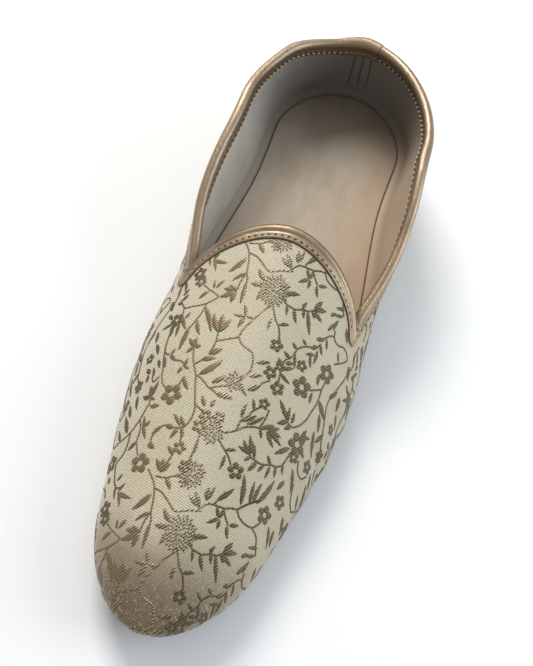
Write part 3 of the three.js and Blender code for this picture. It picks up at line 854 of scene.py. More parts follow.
class Shade:
    """Adds and joins the shader nodes of one material."""

    WAVES = 20.0

    def __init__(self, name: str) -> None:
        """Start a material of this name."""
        self.material = bpy.data.materials.new(name)
        self.material.use_nodes = True
        self.tree = self.material.node_tree
        self.surface = self.tree.nodes["Principled BSDF"]

    def feed(self, socket: bpy.types.NodeSocket, source: object) -> None:
        """Give a socket a number, a colour as read on a screen or another node's output."""
        if isinstance(source, bpy.types.NodeSocket):
            self.tree.links.new(source, socket)
        else:
            socket.default_value = srgb(*source) if socket.type == "RGBA" else source

    def node(self, kind: str, inputs: dict, **settings: object) -> Sequence[object]:
        """Add a node with its own settings, feed its inputs and give its outputs."""
        node = self.tree.nodes.new(kind)
        for key, value in settings.items():
            setattr(node, key, value)
        for key, source in inputs.items():
            self.feed(node.inputs[key], source)
        return node.outputs

    def set(self, **values: object) -> None:
        """Feed sockets of the surface, named in lower case and joined by _."""
        for key, value in values.items():
            wanted = key.replace("_", " ")
            self.feed(next(s for s in self.surface.inputs if s.name.lower() == wanted), value)

    def object_place(self) -> object:
        """Coordinates of the piece itself, in metres."""
        return self.node("ShaderNodeTexCoord", {})["Object"]

    def cloth_place(self) -> object:
        """Coordinates on the flat cloth, in millimetres."""
        return self.node("ShaderNodeUVMap", {}, uv_map="cloth")["UV"]

    def turned(self, place: object, degrees: float, scale: Sequence[float] = (1.0, 1.0, 1.0)) -> object:
        """Turn coordinates about their third axis, then scale them."""
        turn = (0.0, 0.0, np.radians(degrees))
        return self.node("ShaderNodeMapping", {"Vector": place, "Rotation": turn, "Scale": scale})["Vector"]

    def noise(self, place: object, scale: float, detail: float = 3.0, rough: float = 0.5) -> object:
        """Cloudy noise from 0 to 1."""
        return self.node("ShaderNodeTexNoise", {"Vector": place, "Scale": scale, "Detail": detail,
                                                "Roughness": rough})["Fac"]

    def cells(self, place: object, scale: float) -> object:
        """Distance to the edges of random cells."""
        return self.node("ShaderNodeTexVoronoi", {"Vector": place, "Scale": scale},
                         feature="DISTANCE_TO_EDGE")["Distance"]

    def bands(self, place: object, pitch: float, wobble: float) -> object:
        """Waves across the first axis of a place, one each pitch.

        For each unit of its scale, the node itself makes WAVES radians of wave.
        """
        scale = 2.0 * np.pi / self.WAVES / pitch
        return self.node("ShaderNodeTexWave", {"Vector": place, "Scale": scale, "Distortion": wobble,
                                               "Detail": 2.0, "Detail Scale": 1.0},
                         wave_type="BANDS", bands_direction="X")["Fac"]

    def math(self, operation: str, first: object, second: object) -> object:
        """One sum of two numbers."""
        return self.node("ShaderNodeMath", {0: first, 1: second}, operation=operation)[0]

    def times(self, first: object, second: object) -> object:
        """Product of two numbers."""
        return self.math("MULTIPLY", first, second)

    def weigh(self, first: object, part: float, second: object) -> object:
        """Part of one number and the rest of another."""
        return self.math("ADD", self.times(first, part), self.times(second, 1.0 - part))

    def drift(self, noise: object, reach: float) -> object:
        """Noise moved to lie about 0, within half of a reach to both sides."""
        return self.times(self.math("SUBTRACT", noise, 0.5), reach)

    def span(self, value: object, low: float, high: float, start: float = 0.0, end: float = 1.0) -> object:
        """Map low..high softly to start..end, held at both ends."""
        return self.node("ShaderNodeMapRange", {"Value": value, "From Min": low, "From Max": high,
                                                "To Min": start, "To Max": end},
                         interpolation_type="SMOOTHSTEP")["Result"]

    def mix(self, share: object, first: object, second: object) -> object:
        """Blend two colours."""
        return self.node("ShaderNodeMix", {0: share, 6: first, 7: second}, data_type="RGBA")[2]

    def parts(self, vector: object) -> Sequence[object]:
        """Split a vector into its three numbers."""
        return self.node("ShaderNodeSeparateXYZ", {0: vector})

    def bump(self, height: object, depth: float, strength: float, under: object = None) -> object:
        """Relief of a depth in metres, over another relief if one is given."""
        inputs = {"Distance": depth, "Strength": strength, "Height": height}
        if under is not None:
            inputs["Normal"] = under
        return self.node("ShaderNodeBump", inputs)["Normal"]

    def finish(self, colour: object, roughness: object, **others: object) -> bpy.types.Material:
        """Join the colour, roughness and, if given, the relief to the surface."""
        self.set(base_color=colour, roughness=roughness, **others)
        return self.material


@dataclass(frozen=True)
class BrocadeGround:
    """Ivory satin ground with a low twill, browner round the toe, with painted glints there.

    Pitches are millimetres of cloth. The twill's darker lines are partly the yarns' own
    tone and partly painted shade in its grooves. The last three fields are places in metres
    between which it takes painted shade to the left, a browner tone with painted shade at the
    toe, and painted shade at the wall's foot.
    """

    ivory: Colour = (218, 209, 183)
    # Darker ground colour, for the twill's and the patches' own tone and for painted shade.
    shadow: Colour = (146, 133, 102)
    toe_brown_and_shade: Colour = (100, 78, 54)
    painted_glint: Colour = (214, 200, 168)
    twill_pitch: float = 0.88
    twill_deg: float = 106.0
    yarn_deg: float = 44.0
    yarn_pitch: float = 0.4
    painted_side_shade_from: tuple[float, float] = (0.004, -0.022)
    toe_brown_and_shade_from: tuple[float, float] = (0.203, 0.247)
    painted_foot_shade_from: tuple[float, float] = (0.022, 0.009)

    def material(self) -> bpy.types.Material:
        """Build the shader."""
        shade = Shade("ivory_brocade_ground")
        cloth = shade.cloth_place()
        place = shade.object_place()
        twill = shade.bands(shade.turned(cloth, self.twill_deg), self.twill_pitch, 2.2)
        yarns = shade.bands(shade.turned(cloth, self.yarn_deg), self.yarn_pitch, 1.4)
        fleck = shade.noise(cloth, 0.95, 4.0, 0.85)
        cloud = shade.noise(place, 38.0)
        relief = shade.weigh(twill, 0.7, yarns)
        tint = shade.weigh(relief, 0.4, fleck)
        # Twill lines in the colour: partly the yarns' own tone, partly painted shade in the twill's grooves.
        colour = shade.mix(shade.span(tint, 0.2, 0.68), self.shadow, self.ivory)
        colour = shade.mix(shade.span(cloud, 0.35, 0.7, 0.0, 0.12), colour, self.shadow)
        x, y, z = shade.parts(place)
        patchy = shade.drift(cloud, 0.03)
        # Painted shade: the ground is darkened towards the wearer's left side.
        side_shade = shade.span(shade.math("ADD", x, patchy), *self.painted_side_shade_from, 0.0, 0.3)
        colour = shade.mix(side_shade, colour, self.shadow)
        # Browner at the toe: partly the cloth's own rubbed tone, partly painted shade. Painted shade also
        # darkens a band along the wall's foot.
        toe = shade.span(shade.math("ADD", y, patchy), *self.toe_brown_and_shade_from)
        foot = shade.times(shade.span(shade.math("ADD", z, patchy), *self.painted_foot_shade_from), 0.55)
        toe = shade.math("MAXIMUM", toe, foot)
        colour = shade.mix(shade.times(toe, 0.9), colour, self.toe_brown_and_shade)
        # Painted glints: bright flecks painted into the colour round the toe, where the metal is raised too.
        glint_noise = shade.noise(shade.turned(cloth, 20.0, (1.0, 0.45, 1.0)), 1.5, 2.0, 0.6)
        painted_glint = shade.span(glint_noise, 0.56, 0.64)
        colour = shade.mix(shade.times(painted_glint, shade.times(toe, 0.75)), colour, self.painted_glint)
        shade.set(metallic=shade.times(shade.math("ADD", toe, 0.12), painted_glint))
        shade.set(sheen_weight=0.25, sheen_roughness=0.4)
        rise = shade.bump(relief, 0.00005, 0.5, shade.bump(fleck, 0.00025, 0.6))
        return shade.finish(colour, 0.5, normal=rise)


@dataclass(frozen=True)
class BronzeThread:
    """Metal-wrapped pattern thread, painted lit taupe gold on the right and shaded dark olive on the left.

    The last two fields are places across the cloth, in millimetres, between which the
    thread's painted light grows from the left and from the right.
    """

    light: Colour = (146, 126, 92)
    dark: Colour = (98, 83, 55)
    painted_glint: Colour = (232, 222, 196)
    stitch_pitch: float = 1.0
    left_from: tuple[float, float] = (-9.0, 2.0)
    right_from: tuple[float, float] = (36.0, 27.0)

    def material(self) -> bpy.types.Material:
        """Build the shader."""
        shade = Shade("bronze_brocade_thread")
        cloth = shade.cloth_place()
        place = shade.object_place()
        hatch = shade.bands(shade.turned(cloth, 38.0), self.stitch_pitch, 0.8)
        fleck = shade.noise(cloth, 2.4, 2.0, 0.7)
        across = shade.parts(cloth)[0]
        side = shade.math("ADD", across, shade.drift(shade.noise(place, 24.0), 14.0))
        # Painted light and shade: lit taupe gold across the right, shaded dark olive elsewhere, by place
        # across the cloth.
        tone = shade.times(shade.span(side, *self.left_from), shade.span(side, *self.right_from))
        colour = shade.mix(tone, self.dark, self.light)
        # Painted glints: bright flecks painted over the thread, strongest in a band down the cloth's middle.
        middle = shade.times(shade.span(side, -10.0, -2.0), shade.span(side, 9.0, 2.0))
        painted_glint_speckle = shade.times(shade.span(fleck, 0.46, 0.6), shade.span(hatch, 0.25, 0.75))
        strength = shade.math("ADD", shade.times(middle, 0.65), 0.18)
        colour = shade.mix(shade.times(painted_glint_speckle, strength), colour, self.painted_glint)
        # Painted shade in the satin stitches' grooves.
        grooves = shade.span(hatch, 0.1, 0.7, 0.8, 0.0)
        colour = shade.mix(grooves, colour, tuple(0.6 * c for c in self.dark))
        shade.set(metallic=0.45)
        rough = shade.span(hatch, 0.0, 1.0, 0.55, 0.38)
        return shade.finish(colour, rough, normal=shade.bump(hatch, 0.00012, 0.8))


@dataclass(frozen=True)
class FoilLeather:
    """Thin rose-gold leather of the bindings, with a fine grain and rubbed places."""

    colour: Colour = (162, 140, 114)
    worn: Colour = (118, 98, 77)
    metallic: float = 0.72

    def material(self) -> bpy.types.Material:
        """Build the shader."""
        shade = Shade("rose_gold_leather")
        place = shade.object_place()
        grain = shade.cells(place, 2600.0)
        pores = shade.noise(place, 900.0, 4.0, 0.6)
        cloud = shade.noise(place, 60.0, 4.0, 0.6)
        colour = shade.mix(shade.span(cloud, 0.35, 0.75, 0.0, 0.55), self.colour, self.worn)
        relief = shade.bump(shade.span(grain, 0.0, 0.2), 0.00005, 0.5)
        relief = shade.bump(pores, 0.00008, 0.5, relief)
        shade.set(metallic=self.metallic, coat_weight=0.35, coat_roughness=0.2)
        rough = shade.span(cloud, 0.3, 0.7, 0.26, 0.38)
        return shade.finish(colour, rough, normal=relief)


@dataclass(frozen=True)
class SmoothLeather:
    """Pale leather of lining and insole, with faint pores and soft stains.

    The last two fields are places in metres between which it takes a painted warm bounce light
    to the left and painted shade towards the heel.
    """

    name: str
    colour: Colour
    stain: Colour
    warm: Colour = (178, 146, 114)
    roughness: float = 0.55
    pore: float = 1500.0
    painted_bounce_from: tuple[float, float] = (0.0, -0.036)
    painted_heel_shade_from: tuple[float, float] = (0.05, -0.03)

    def material(self) -> bpy.types.Material:
        """Build the shader."""
        shade = Shade(self.name)
        place = shade.object_place()
        cloud = shade.noise(place, 28.0, 4.0, 0.55)
        streak = shade.noise(shade.turned(place, 0.0, (1.0, 0.25, 1.0)), 160.0, 4.0, 0.6)
        pores = shade.noise(place, self.pore, 3.0, 0.6)
        share = shade.weigh(cloud, 0.6, streak)
        colour = shade.mix(shade.span(share, 0.38, 0.68, 0.0, 0.7), self.colour, self.stain)
        colour = shade.mix(shade.span(pores, 0.6, 0.8, 0.0, 0.2), colour, self.stain)
        relief = shade.bump(pores, 0.00006, 0.5)
        parts = shade.parts(place)
        # Painted warm bounce light, stronger towards the wearer's left side.
        colour = shade.mix(shade.span(parts[0], *self.painted_bounce_from, 0.0, 0.62), colour, self.warm)
        # Painted shade, darker towards the heel.
        heel_shade = shade.span(parts[1], *self.painted_heel_shade_from, 0.0, 0.74)
        colour = shade.mix(heel_shade, colour, tuple(0.5 * c for c in self.stain))
        shade.set(specular_ior_level=0.35)
        rough = shade.span(cloud, 0.3, 0.7, self.roughness - 0.06, self.roughness + 0.06)
        return shade.finish(colour, rough, normal=relief)


@dataclass(frozen=True)
class DarkLeather:
    """Dark sole leather with scuffed edges."""

    name: str
    colour: Colour
    scuff: Colour

    def material(self) -> bpy.types.Material:
        """Build the shader."""
        shade = Shade(self.name)
        place = shade.object_place()
        fibre = shade.noise(shade.turned(place, 0.0, (1.0, 1.0, 6.0)), 320.0, 4.0, 0.65)
        cloud = shade.noise(place, 45.0, 4.0)
        colour = shade.mix(shade.span(fibre, 0.45, 0.75, 0.0, 0.55), self.colour, self.scuff)
        colour = shade.mix(shade.span(cloud, 0.5, 0.8, 0.0, 0.4), colour, self.scuff)
        relief = shade.bump(fibre, 0.00015, 0.5)
        return shade.finish(colour, shade.span(cloud, 0.3, 0.7, 0.5, 0.68), normal=relief)


@dataclass(frozen=True)
class Thread:
    """Sewing thread with a fine twist."""

    name: str
    colour: Colour

    def material(self) -> bpy.types.Material:
        """Build the shader."""
        shade = Shade(self.name)
        twist = shade.noise(shade.object_place(), 4200.0, 2.0)
        dark = tuple(0.55 * c for c in self.colour)
        colour = shade.mix(shade.span(twist, 0.35, 0.7, 0.0, 0.5), self.colour, dark)
        return shade.finish(colour, 0.6, normal=shade.bump(twist, 0.00005, 0.6))


@dataclass(frozen=True)
class Upper:
    """Brocade upper and its leather lining."""

    grid: UpperGrid = UpperGrid()
    wall: float = 2.0
    cloth: float = 0.9
    gap: float = 0.1

    def build(self, maker: Maker, lay: ClothLay) -> None:
        """Make the brocade wall and the lining wall inside it.

        Args:
            maker: Makes the meshes.
            lay: How the cloth lies on the last.
        """
        skin = self.grid.skin(maker.last, lay)
        normals, points = skin.normals, skin.points
        rings, quads = shell(points, points - normals * self.cloth)
        places = np.concatenate([skin.cloth, skin.cloth[::-1]], axis=0)
        maker.piece("brocade_upper", rings, quads, BrocadeGround().material(), "brocade",
                    cloth=places, replaces=("upper",), sharp_deg=60.0)
        inside = points[:, ::2] - normals[:, ::2] * (self.cloth + self.gap)
        lining_rings, lining_quads = shell(inside, points[:, ::2] - normals[:, ::2] * self.wall)
        finish = SmoothLeather("pale_lining_leather", (198, 192, 182), (170, 162, 150)).material()
        maker.piece("upper_lining", lining_rings, lining_quads, finish, "lining_leather",
                    replaces=("upper",), sharp_deg=60.0)


class Stroke(Enum):
    """Curve of one satin stroke of the pattern."""

    LEAF = "leaf"
    PETAL = "petal"

    def widths(self, t: Array) -> Array:
        """Share of the half width at t, 0 at the start and 1 at the end.

        Both are powers of a sine's hump: the leaf's runs over the whole stroke, and the
        petal's starts and ends a little way in, so that its ends are blunt.
        """
        if self is Stroke.LEAF:
            return np.maximum(np.sin(np.pi * t**0.85), 0.0) ** 0.75 + 0.06
        return np.maximum(np.sin(np.pi * (0.12 + 0.84 * t**1.25)), 0.0) ** 0.6


@dataclass(frozen=True)
class Sprig:
    """A leaf, petal or bud of the pattern, drawn from its stalk end.

    Attributes:
        at: Place of its stalk end on the repeat.
        way_deg: Direction that it points to, 0 across and 90 towards the toe.
        length: Length.
        width: Full width.
        bend: Sideways bow of its middle, as a share of the length.
        stroke: Curve.
    """

    at: tuple[float, float]
    way_deg: float
    length: float
    width: float
    bend: float = 0.0
    stroke: Stroke = Stroke.LEAF


class VineChart:
    """Drawn repeat of the brocade's vines, leaves and flowers, in millimetres of cloth.

    Places are read as (across, along), and the repeat's width and height are REPEAT.
    """

    REPEAT = (91.0, 103.5)
    STATIONS = 9
    VINE_HALF = 0.47
    LEAF_BEND = 0.045

    # A petal's start, length and width as shares of its flower's reach.
    PETALS = 5
    PETAL_START = 0.27
    PETAL_LENGTH = 0.78
    PETAL_WIDTH = 0.8
    # Turn of a flower for each millimetre across, so that no two stand alike.
    FLOWER_TURN_DEG = 17.0

    # Stitches of a blossom: how many to a square millimetre of its reach, and their size.
    BLOSSOM_DENSITY = 2.1
    GOLDEN_DEG = 137.5
    BLOSSOM_HEIGHT = 1.15
    STITCH_START = -0.6
    STITCH_LENGTH = 1.6
    STITCH_WIDTH = 0.8
    STITCH_BEND = 0.1

    # Every stroke is a little wider than charted and uneven along its edge.
    FULLNESS = 1.22
    UNEVEN = 0.12
    UNEVEN_STEP = 2.4
    LEAST_HALF = 0.16

    VINES = (
        ((30, 7.5), (26, 10), (23, 11.5), (20, 13.2), (22.5, 16), (26, 17.8), (30, 18.6), (33.5, 19.3),
         (36, 17.5), (38, 15)),
        ((20, -15), (16, -11), (14, -7.5), (12.7, -3), (12, 0.5), (10.6, 4), (10.4, 8)),
        ((14, -8.3), (11, -7.5), (8, -5.5), (5.5, -3.5), (3.5, -2.2), (1, -3), (-1.3, -4.2), (-4, -5),
         (-5.8, -5.8)),
        ((16, -12.8), (11.5, -13.2), (9, -14.5), (6, -15.5)),
        ((12.2, 1), (13, 5), (13.2, 9.2)),
        ((-5, 5.5), (-7, 8), (-9, 8.8), (-12, 9), (-15, 7.5), (-17.5, 7), (-19.5, 5.3)),
        ((-2.5, 10.5), (-4, 13), (-6, 16.5), (-8, 18.5), (-9.5, 21.5), (-10.2, 24)),
        ((-2, 10), (-1.4, 12.8), (0.5, 16), (2.2, 19.5), (3.8, 22.8), (4.9, 26), (5.4, 28.5), (8, 30),
         (11, 31.5), (13.5, 32.5)),
        ((13.9, 28.5), (13.3, 33), (14, 38)),
        ((5.2, 28.5), (3, 31), (0, 32.2), (-2, 33), (-3.5, 36), (-4, 40), (-2.5, 43), (-1, 46)),
        ((23.8, 17), (24.2, 21), (25.5, 25), (27.2, 29)),
        ((34.2, 19.5), (33.6, 22), (34.5, 25)),
        ((-4.5, -6), (-7, -9), (-9.5, -9.6), (-13.5, -10), (-16.5, -11.3), (-18.5, -11.8), (-20.5, -14),
         (-23, -16.5), (-26, -19)),
        ((-9.5, -9.6), (-10.5, -13), (-12, -16)),
        ((-13.5, -9.8), (-15, -7.5), (-17.2, -5)),
        ((-25, 15.5), (-27.5, 14), (-29, 12.5), (-30.5, 10.8), (-32.5, 10.2), (-34, 11.5), (-36.5, 11.8),
         (-39, 10.8), (-42, 11.5), (-44, 14), (-41, 17), (-39, 18.5), (-37, 20)),
        ((-32, 7.5), (-32.6, 10.4)),
        ((-27.5, 16.5), (-26, 19), (-22.5, 20.5), (-20, 22), (-18.5, 24), (-18, 26), (-17, 28.5), (-15.5, 30),
         (-15, 33), (-15.5, 37), (-16, 40)),
        ((-35.5, 29), (-35, 32.5), (-32.5, 34.3), (-30, 36)),
        ((-12.5, 40.5), (-10, 43), (-9, 45.5)),
        ((-25, 52), (-28, 53), (-31, 50.5), (-33, 47), (-34, 43), (-35, 39.5), (-35.3, 35), (-35, 32.5)),
        ((-31.8, 60.5), (-30.5, 66), (-29.5, 68.5), (-27, 70), (-24.5, 70.5), (-22, 71.8), (-19, 72),
         (-16, 71.3), (-15, 70.3)),
        ((-3, 67), (-7, 64.5), (-9.5, 62), (-13, 60.3), (-16.5, 59.5), (-18, 58.7)),
        ((-15.3, 59.4), (-16.2, 55.5), (-16.4, 51.5)),
        ((-12.8, 52), (-10.8, 54.2), (-9.5, 57), (-7.5, 60), (-7.2, 64)),
        ((-2, 70), (-5, 72.5), (-8, 75), (-10, 77.5)),
        ((-26, 84.5), (-23, 87), (-20.5, 89.5), (-18.5, 91.7)),
        ((-18.5, 91.7), (-20.5, 94), (-23.5, 95.2), (-27, 95), (-29, 93), (-30.3, 90.5)),
        ((-27, 95), (-30.5, 97), (-32.5, 100.5), (-34, 103)),
        ((21.5, 36.5), (20, 41), (18.5, 44), (16, 48), (15, 51), (13.5, 55), (12, 59), (11, 62), (11, 66),
         (12.5, 69.3), (15, 70.5), (20, 70.4), (22.5, 72)),
        ((18.2, 43.8), (16, 41.5)),
        ((15.7, 48), (12.5, 49.5), (9.5, 51.5), (7, 52.5), (5, 53.5)),
        ((8.5, 51.8), (5, 50), (2, 48.8), (0.5, 47)),
        ((11.8, 59.5), (9, 61), (7.5, 61.3)),
        ((5.4, 70), (5.2, 75), (5.5, 82)),
        ((12.7, 70), (12, 74), (11.2, 77)),
        ((12.6, 81), (13.5, 85), (14.3, 88)),
        ((22.8, 73), (24, 76), (23, 79.5)),
        ((36, 32), (35, 38), (33.5, 40.5), (31.5, 41)),
        ((27, 43.2), (24, 43.5), (22.5, 45.2)),
        ((35.2, 37.5), (33.5, 43), (31.5, 48), (31, 50), (29, 53.5), (26.5, 55.5)),
        ((36, 49.5), (35.3, 51.8), (34, 53), (32, 50.8)),
        ((20.4, 49.5), (21, 52), (21.6, 54)),
        ((32.2, 60), (31.5, 62.5), (30, 63.8)),
        ((46, 80), (41, 78), (38, 76.5), (35.5, 74), (33.5, 70), (32.5, 66), (31.8, 63)),
        ((-45, 80), (-41.5, 77.5), (-39, 71)),
        ((33, 69.5), (31, 73), (30.5, 78), (29, 81), (27, 84)),
        ((35.8, 75), (35, 80), (35.5, 84), (38, 87.5), (36, 92), (34, 95.5), (31.5, 97.5), (29.5, 97.2)),
        ((46, 95.5), (40, 98), (37, 101.5)),
        ((40, 3), (42, 8), (41.5, 14), (44, 20), (46, 24)),
        ((-45, 24), (-42.5, 30), (-41, 36), (-43, 44), (-45, 50)),
        ((46, 50), (43, 54), (41, 58)),
        ((-36.5, 62.5), (-38.5, 66.5), (-42, 67.5), (-45, 65)),
    )

    # Each leaf: its stalk end, its tip and its width.
    LEAVES = (
        (29.9, -4.2, 22.1, -2.6, 2), (29.9, -4.7, 27.8, -8, 1.6), (29.5, -4, 26.3, 1.3, 1.5),
        (32.5, -7, 30.3, -1.3, 1.3), (23.4, 9.7, 24.4, 6, 1.3), (22.3, 9.6, 20.1, 5.6, 1.5),
        (25.3, 11.3, 28.6, 14.9, 1.9), (13.2, 9.2, 18.9, 9.4, 2.4), (13.3, 9.6, 19.3, 13.4, 2.6),
        (13.2, 9.6, 13.7, 15, 2.3), (13.4, 9, 16.8, 7.6, 1.8), (14.6, -5.9, 19.8, 1.6, 2.5),
        (12.2, 0.9, 16.6, 5.4, 1.6), (10.6, 5, 9.8, 14.6, 1.6), (11.5, -13, 8.4, -9.3, 1.9),
        (3.5, -16, 3.2, -12.6, 2), (4, 2.4, 7.6, -1.9, 2.1), (3.7, 4, 8.6, 4.9, 2.3),
        (1.9, 6, 4.1, 11.3, 1.9), (-5, 4.6, -11.8, 2.4, 2.1), (-8, 8.6, -9.3, 12.8, 1.2),
        (-11.5, 9, -14.4, 14.4, 1.6), (-17, 7, -21.2, 16, 1.8), (-14.6, 7.5, -15.6, 4, 1.5),
        (-15.5, 7.2, -16.4, 10.7, 1.5), (-19.6, 5.2, -21.8, 0.1, 2.2), (-19.7, 5.2, -25, 3, 2.2),
        (-19.8, 5.5, -24.5, 8, 1.8), (-19.5, 5.4, -20.8, 8.4, 2.2), (-8, 18, -11.8, 16.3, 1.6),
        (-4.6, 16.8, -4.4, 21.6, 1.3), (2.5, 19.3, 5.3, 19.2, 1.3), (5.8, 19.3, 10.6, 19.8, 1.4),
        (5.9, 19, 7.8, 14.7, 1.4), (5.9, 19.6, 7.1, 24.8, 1.7), (14.1, 28.7, 18.6, 21, 2.3),
        (14, 28.7, 14.9, 20.8, 2.8), (13.9, 28.7, 10.8, 22.2, 2.6), (23.8, 18.5, 17, 29.2, 2.3),
        (24.8, 25, 21.3, 31.2, 1.9), (27.2, 28, 27.9, 38.8, 2.3), (41.6, 22.3, 38, 24.7, 2),
        (32.9, 23, 28.6, 29.4, 1.8), (33.2, 26, 32.3, 32.7, 1.6), (36.6, 27, 35.4, 32.8, 2),
        (37, 27, 41.7, 29.1, 1.6), (31.2, 24.2, 29.6, 21.4, 1.5), (40.6, 5.9, 38, 11, 1.7),
        (42.6, 8, 41, 13.2, 1.7), (38.2, 12.8, 36, 9.8, 1.6), (37.4, 15.6, 34.8, 12.6, 1.8),
        (39.2, 16.2, 36.6, 17.2, 1.7), (44, 14.8, 41.3, 20, 2.8), (-6, -10.3, -5.4, -15, 1.9),
        (-4.5, -6.4, -1, -11.8, 1.9), (-3.4, -6.8, 0.4, -9.6, 1.7), (-13, -5.9, -10.9, -9.6, 1.5),
        (-13.2, -6, -13.5, -9.7, 1.5), (-13, -5.6, -9.3, -2.4, 1.6), (-13.5, -5.5, -13.7, -1.8, 1.4),
        (-17.1, -4.7, -19, -0.2, 1.5), (-17.8, -5, -21.5, -6.6, 1.6), (-27.4, 3.2, -30.2, 0.8, 1.6),
        (-28.3, 9.5, -30.4, 5, 1.5), (-24.8, 15.7, -28.5, 14, 1.9), (-29.2, 13, -30.8, 17.2, 1.3),
        (-27.6, 16.8, -29.5, 20.3, 1.5), (-21.4, 20.4, -19.2, 18.8, 1.3), (-18.4, 24, -15.8, 22.1, 1.4),
        (-26.6, 22.2, -22.4, 23.9, 1.4), (-26.5, 18.4, -23.8, 20.4, 1.9), (-27, 19.8, -27.1, 25.7, 1.5),
        (-24.7, 23, -26.5, 27.8, 1.4), (-18.2, 26, -20.1, 31.5, 1.4), (-17, 28.8, -13.8, 27.1, 1.6),
        (-31.6, 27.9, -32.4, 32.4, 1.7), (-37, 14.3, -39.1, 18.2, 1.3), (-16, 31.5, -19.2, 30.2, 1.8),
        (-15.4, 36, -20.5, 38.3, 1.6), (-15, 34.5, -19.8, 31.8, 1.7), (-15.2, 33.5, -12.6, 30.6, 1.8),
        (-9.2, 45.2, -5.6, 47.9, 2.5), (-5, 36.2, -10.2, 33.9, 1.6), (-4.6, 42.6, -9, 40.2, 1.6),
        (-2.2, 46.2, -6.1, 50.4, 1.4), (-24.9, 51.7, -19, 45.7, 2), (-25.4, 51.6, -24.2, 46.5, 1.5),
        (-27, 51.8, -26.7, 47.4, 1.5), (-25.4, 52, -21.2, 54.7, 2), (-27.4, 52.6, -24.8, 55.3, 1.9),
        (-31.3, 36.2, -31.6, 40.8, 1.5), (-35.8, 37.3, -42, 42.2, 2.6), (-38.3, 41.6, -40.8, 48.2, 2),
        (-38.9, 48.8, -43.7, 58.2, 1.9), (-35, 50.6, -33.4, 55, 1.7), (-33, 55.2, -38.2, 52.6, 1.8),
        (-35.2, 58, -38.8, 60.4, 1.8), (-30.4, 60.6, -24.8, 65.8, 2), (-25, 70.3, -22.3, 67.6, 1.5),
        (-30, 67.3, -31.4, 71.3, 1.3), (-27.4, 70, -28.3, 74, 1.4), (-24.8, 70.8, -24.4, 76.1, 1.4),
        (-22.5, 71.9, -20.8, 75.3, 1.4), (-19.2, 72, -16.9, 76.8, 1.9), (-17.7, 71.2, -16, 66.4, 1.5),
        (-16.2, 71.4, -14.2, 73.8, 1.3), (-15.4, 70.6, -10, 69.6, 1.7), (-15.3, 70.5, -11.2, 66.6, 1.8),
        (-15.3, 70.4, -12.8, 63.8, 1.6), (-15.6, 70.3, -14.8, 65.6, 1.6), (-18.4, 58.7, -20.6, 56.2, 1.6),
        (-18.5, 58.8, -23, 56.2, 1.8), (-18.6, 59, -24.9, 59, 2), (-18.5, 59.2, -26.2, 62, 2),
        (-18.6, 59.4, -23.3, 64, 1.8), (-15.8, 59.6, -19.9, 56.3, 1.5), (-15.7, 60, -17.3, 63.2, 1.4),
        (-10, 60.4, -15.5, 55, 1.8), (-8, 60.2, -12.7, 55.8, 1.6), (-7.2, 59, -7.3, 52.8, 1.5),
        (-10.6, 54.2, -8.9, 50.2, 1.4), (-5.6, 73, -10, 71.4, 1.4), (-6.5, 74.8, -6.5, 80.8, 1.4),
        (-19, 89.6, -16.2, 78.5, 2.1), (-22.4, 88, -21.2, 79.2, 1.7), (-23.8, 86.6, -24.4, 78.2, 1.6),
        (-25.1, 86.2, -29.1, 74.7, 2.1), (-33.7, 72.8, -31.7, 77.2, 1.9), (-35.2, 66.8, -39.2, 75.2, 1.8),
        (-6, 93.6, -7.4, 87.6, 1.5), (-10.3, 91.8, -14.6, 85.2, 1.9), (-34.8, 90.8, -38.6, 98.3, 1.7),
        (-38.8, 90.6, -40.6, 96.6, 2.2), (-33.4, 100.3, -28.8, 102.1, 1.5), (-33.6, 103.2, -29.2, 105.2, 1.4),
        (-31.9, 106.2, -31, 111.4, 1.4), (21.2, 36.6, 25, 33.2, 2.2), (21.4, 36.6, 21.6, 32.6, 2.2),
        (21.2, 36.4, 18.5, 35.6, 2), (21.4, 36.6, 23.8, 39.6, 1.7), (16.2, 41.6, 10.8, 39.7, 2.3),
        (14.9, 47.6, 7.9, 39.8, 2.7), (14.3, 38.5, 9.6, 35.2, 2.8), (5.2, 53.6, -1.4, 53.4, 2.5),
        (8.6, 49.6, 4.5, 45.3, 2.2), (7.8, 59.6, 10.3, 55.5, 1.7), (5.4, 59.2, 4.6, 55.7, 1.5),
        (14, 69.7, 18.5, 65.4, 1.7), (12.6, 69.2, 15.4, 65.5, 1.6), (16.2, 70.7, 20.2, 70.3, 2.3),
        (21.4, 71.3, 24.4, 74.9, 1.9), (14.5, 70.5, 16.2, 75.3, 1.7), (13.4, 70.1, 11.6, 73.8, 1.6),
        (12.4, 81.2, 15.7, 78.3, 1.9), (24.6, 78.8, 20.9, 80.2, 2.3), (5.3, 72.8, 5.4, 79.8, 1.4),
        (14.4, 88.8, 18.3, 84.1, 2.3), (14.4, 88.8, 15.2, 83.2, 2.4), (14.3, 88.8, 11.8, 84.3, 2.2),
        (20.5, 49.8, 16.9, 54.6, 1.9), (31, 41.2, 26.8, 43.6, 1.9), (30.6, 41.2, 29.4, 38.2, 1.3),
        (22.6, 45.2, 22, 41.8, 1.4), (22.9, 45.8, 24.1, 48.8, 1.6), (22.4, 45.4, 19.8, 46.2, 1.6),
        (33.1, 41.9, 30.9, 46.8, 1.6), (36.2, 43.2, 33.9, 46.8, 1.6), (37.2, 46.8, 35.2, 50.8, 1.3),
        (40.8, 47.2, 37.8, 49.2, 2.1), (38.6, 49.8, 38, 53.4, 1.6), (32.3, 60, 36.5, 59.5, 2.3),
        (32.3, 60, 34.3, 54.9, 2.5), (32.2, 60, 31.4, 52.2, 1.9), (32.2, 60, 29.6, 60.8, 1.5),
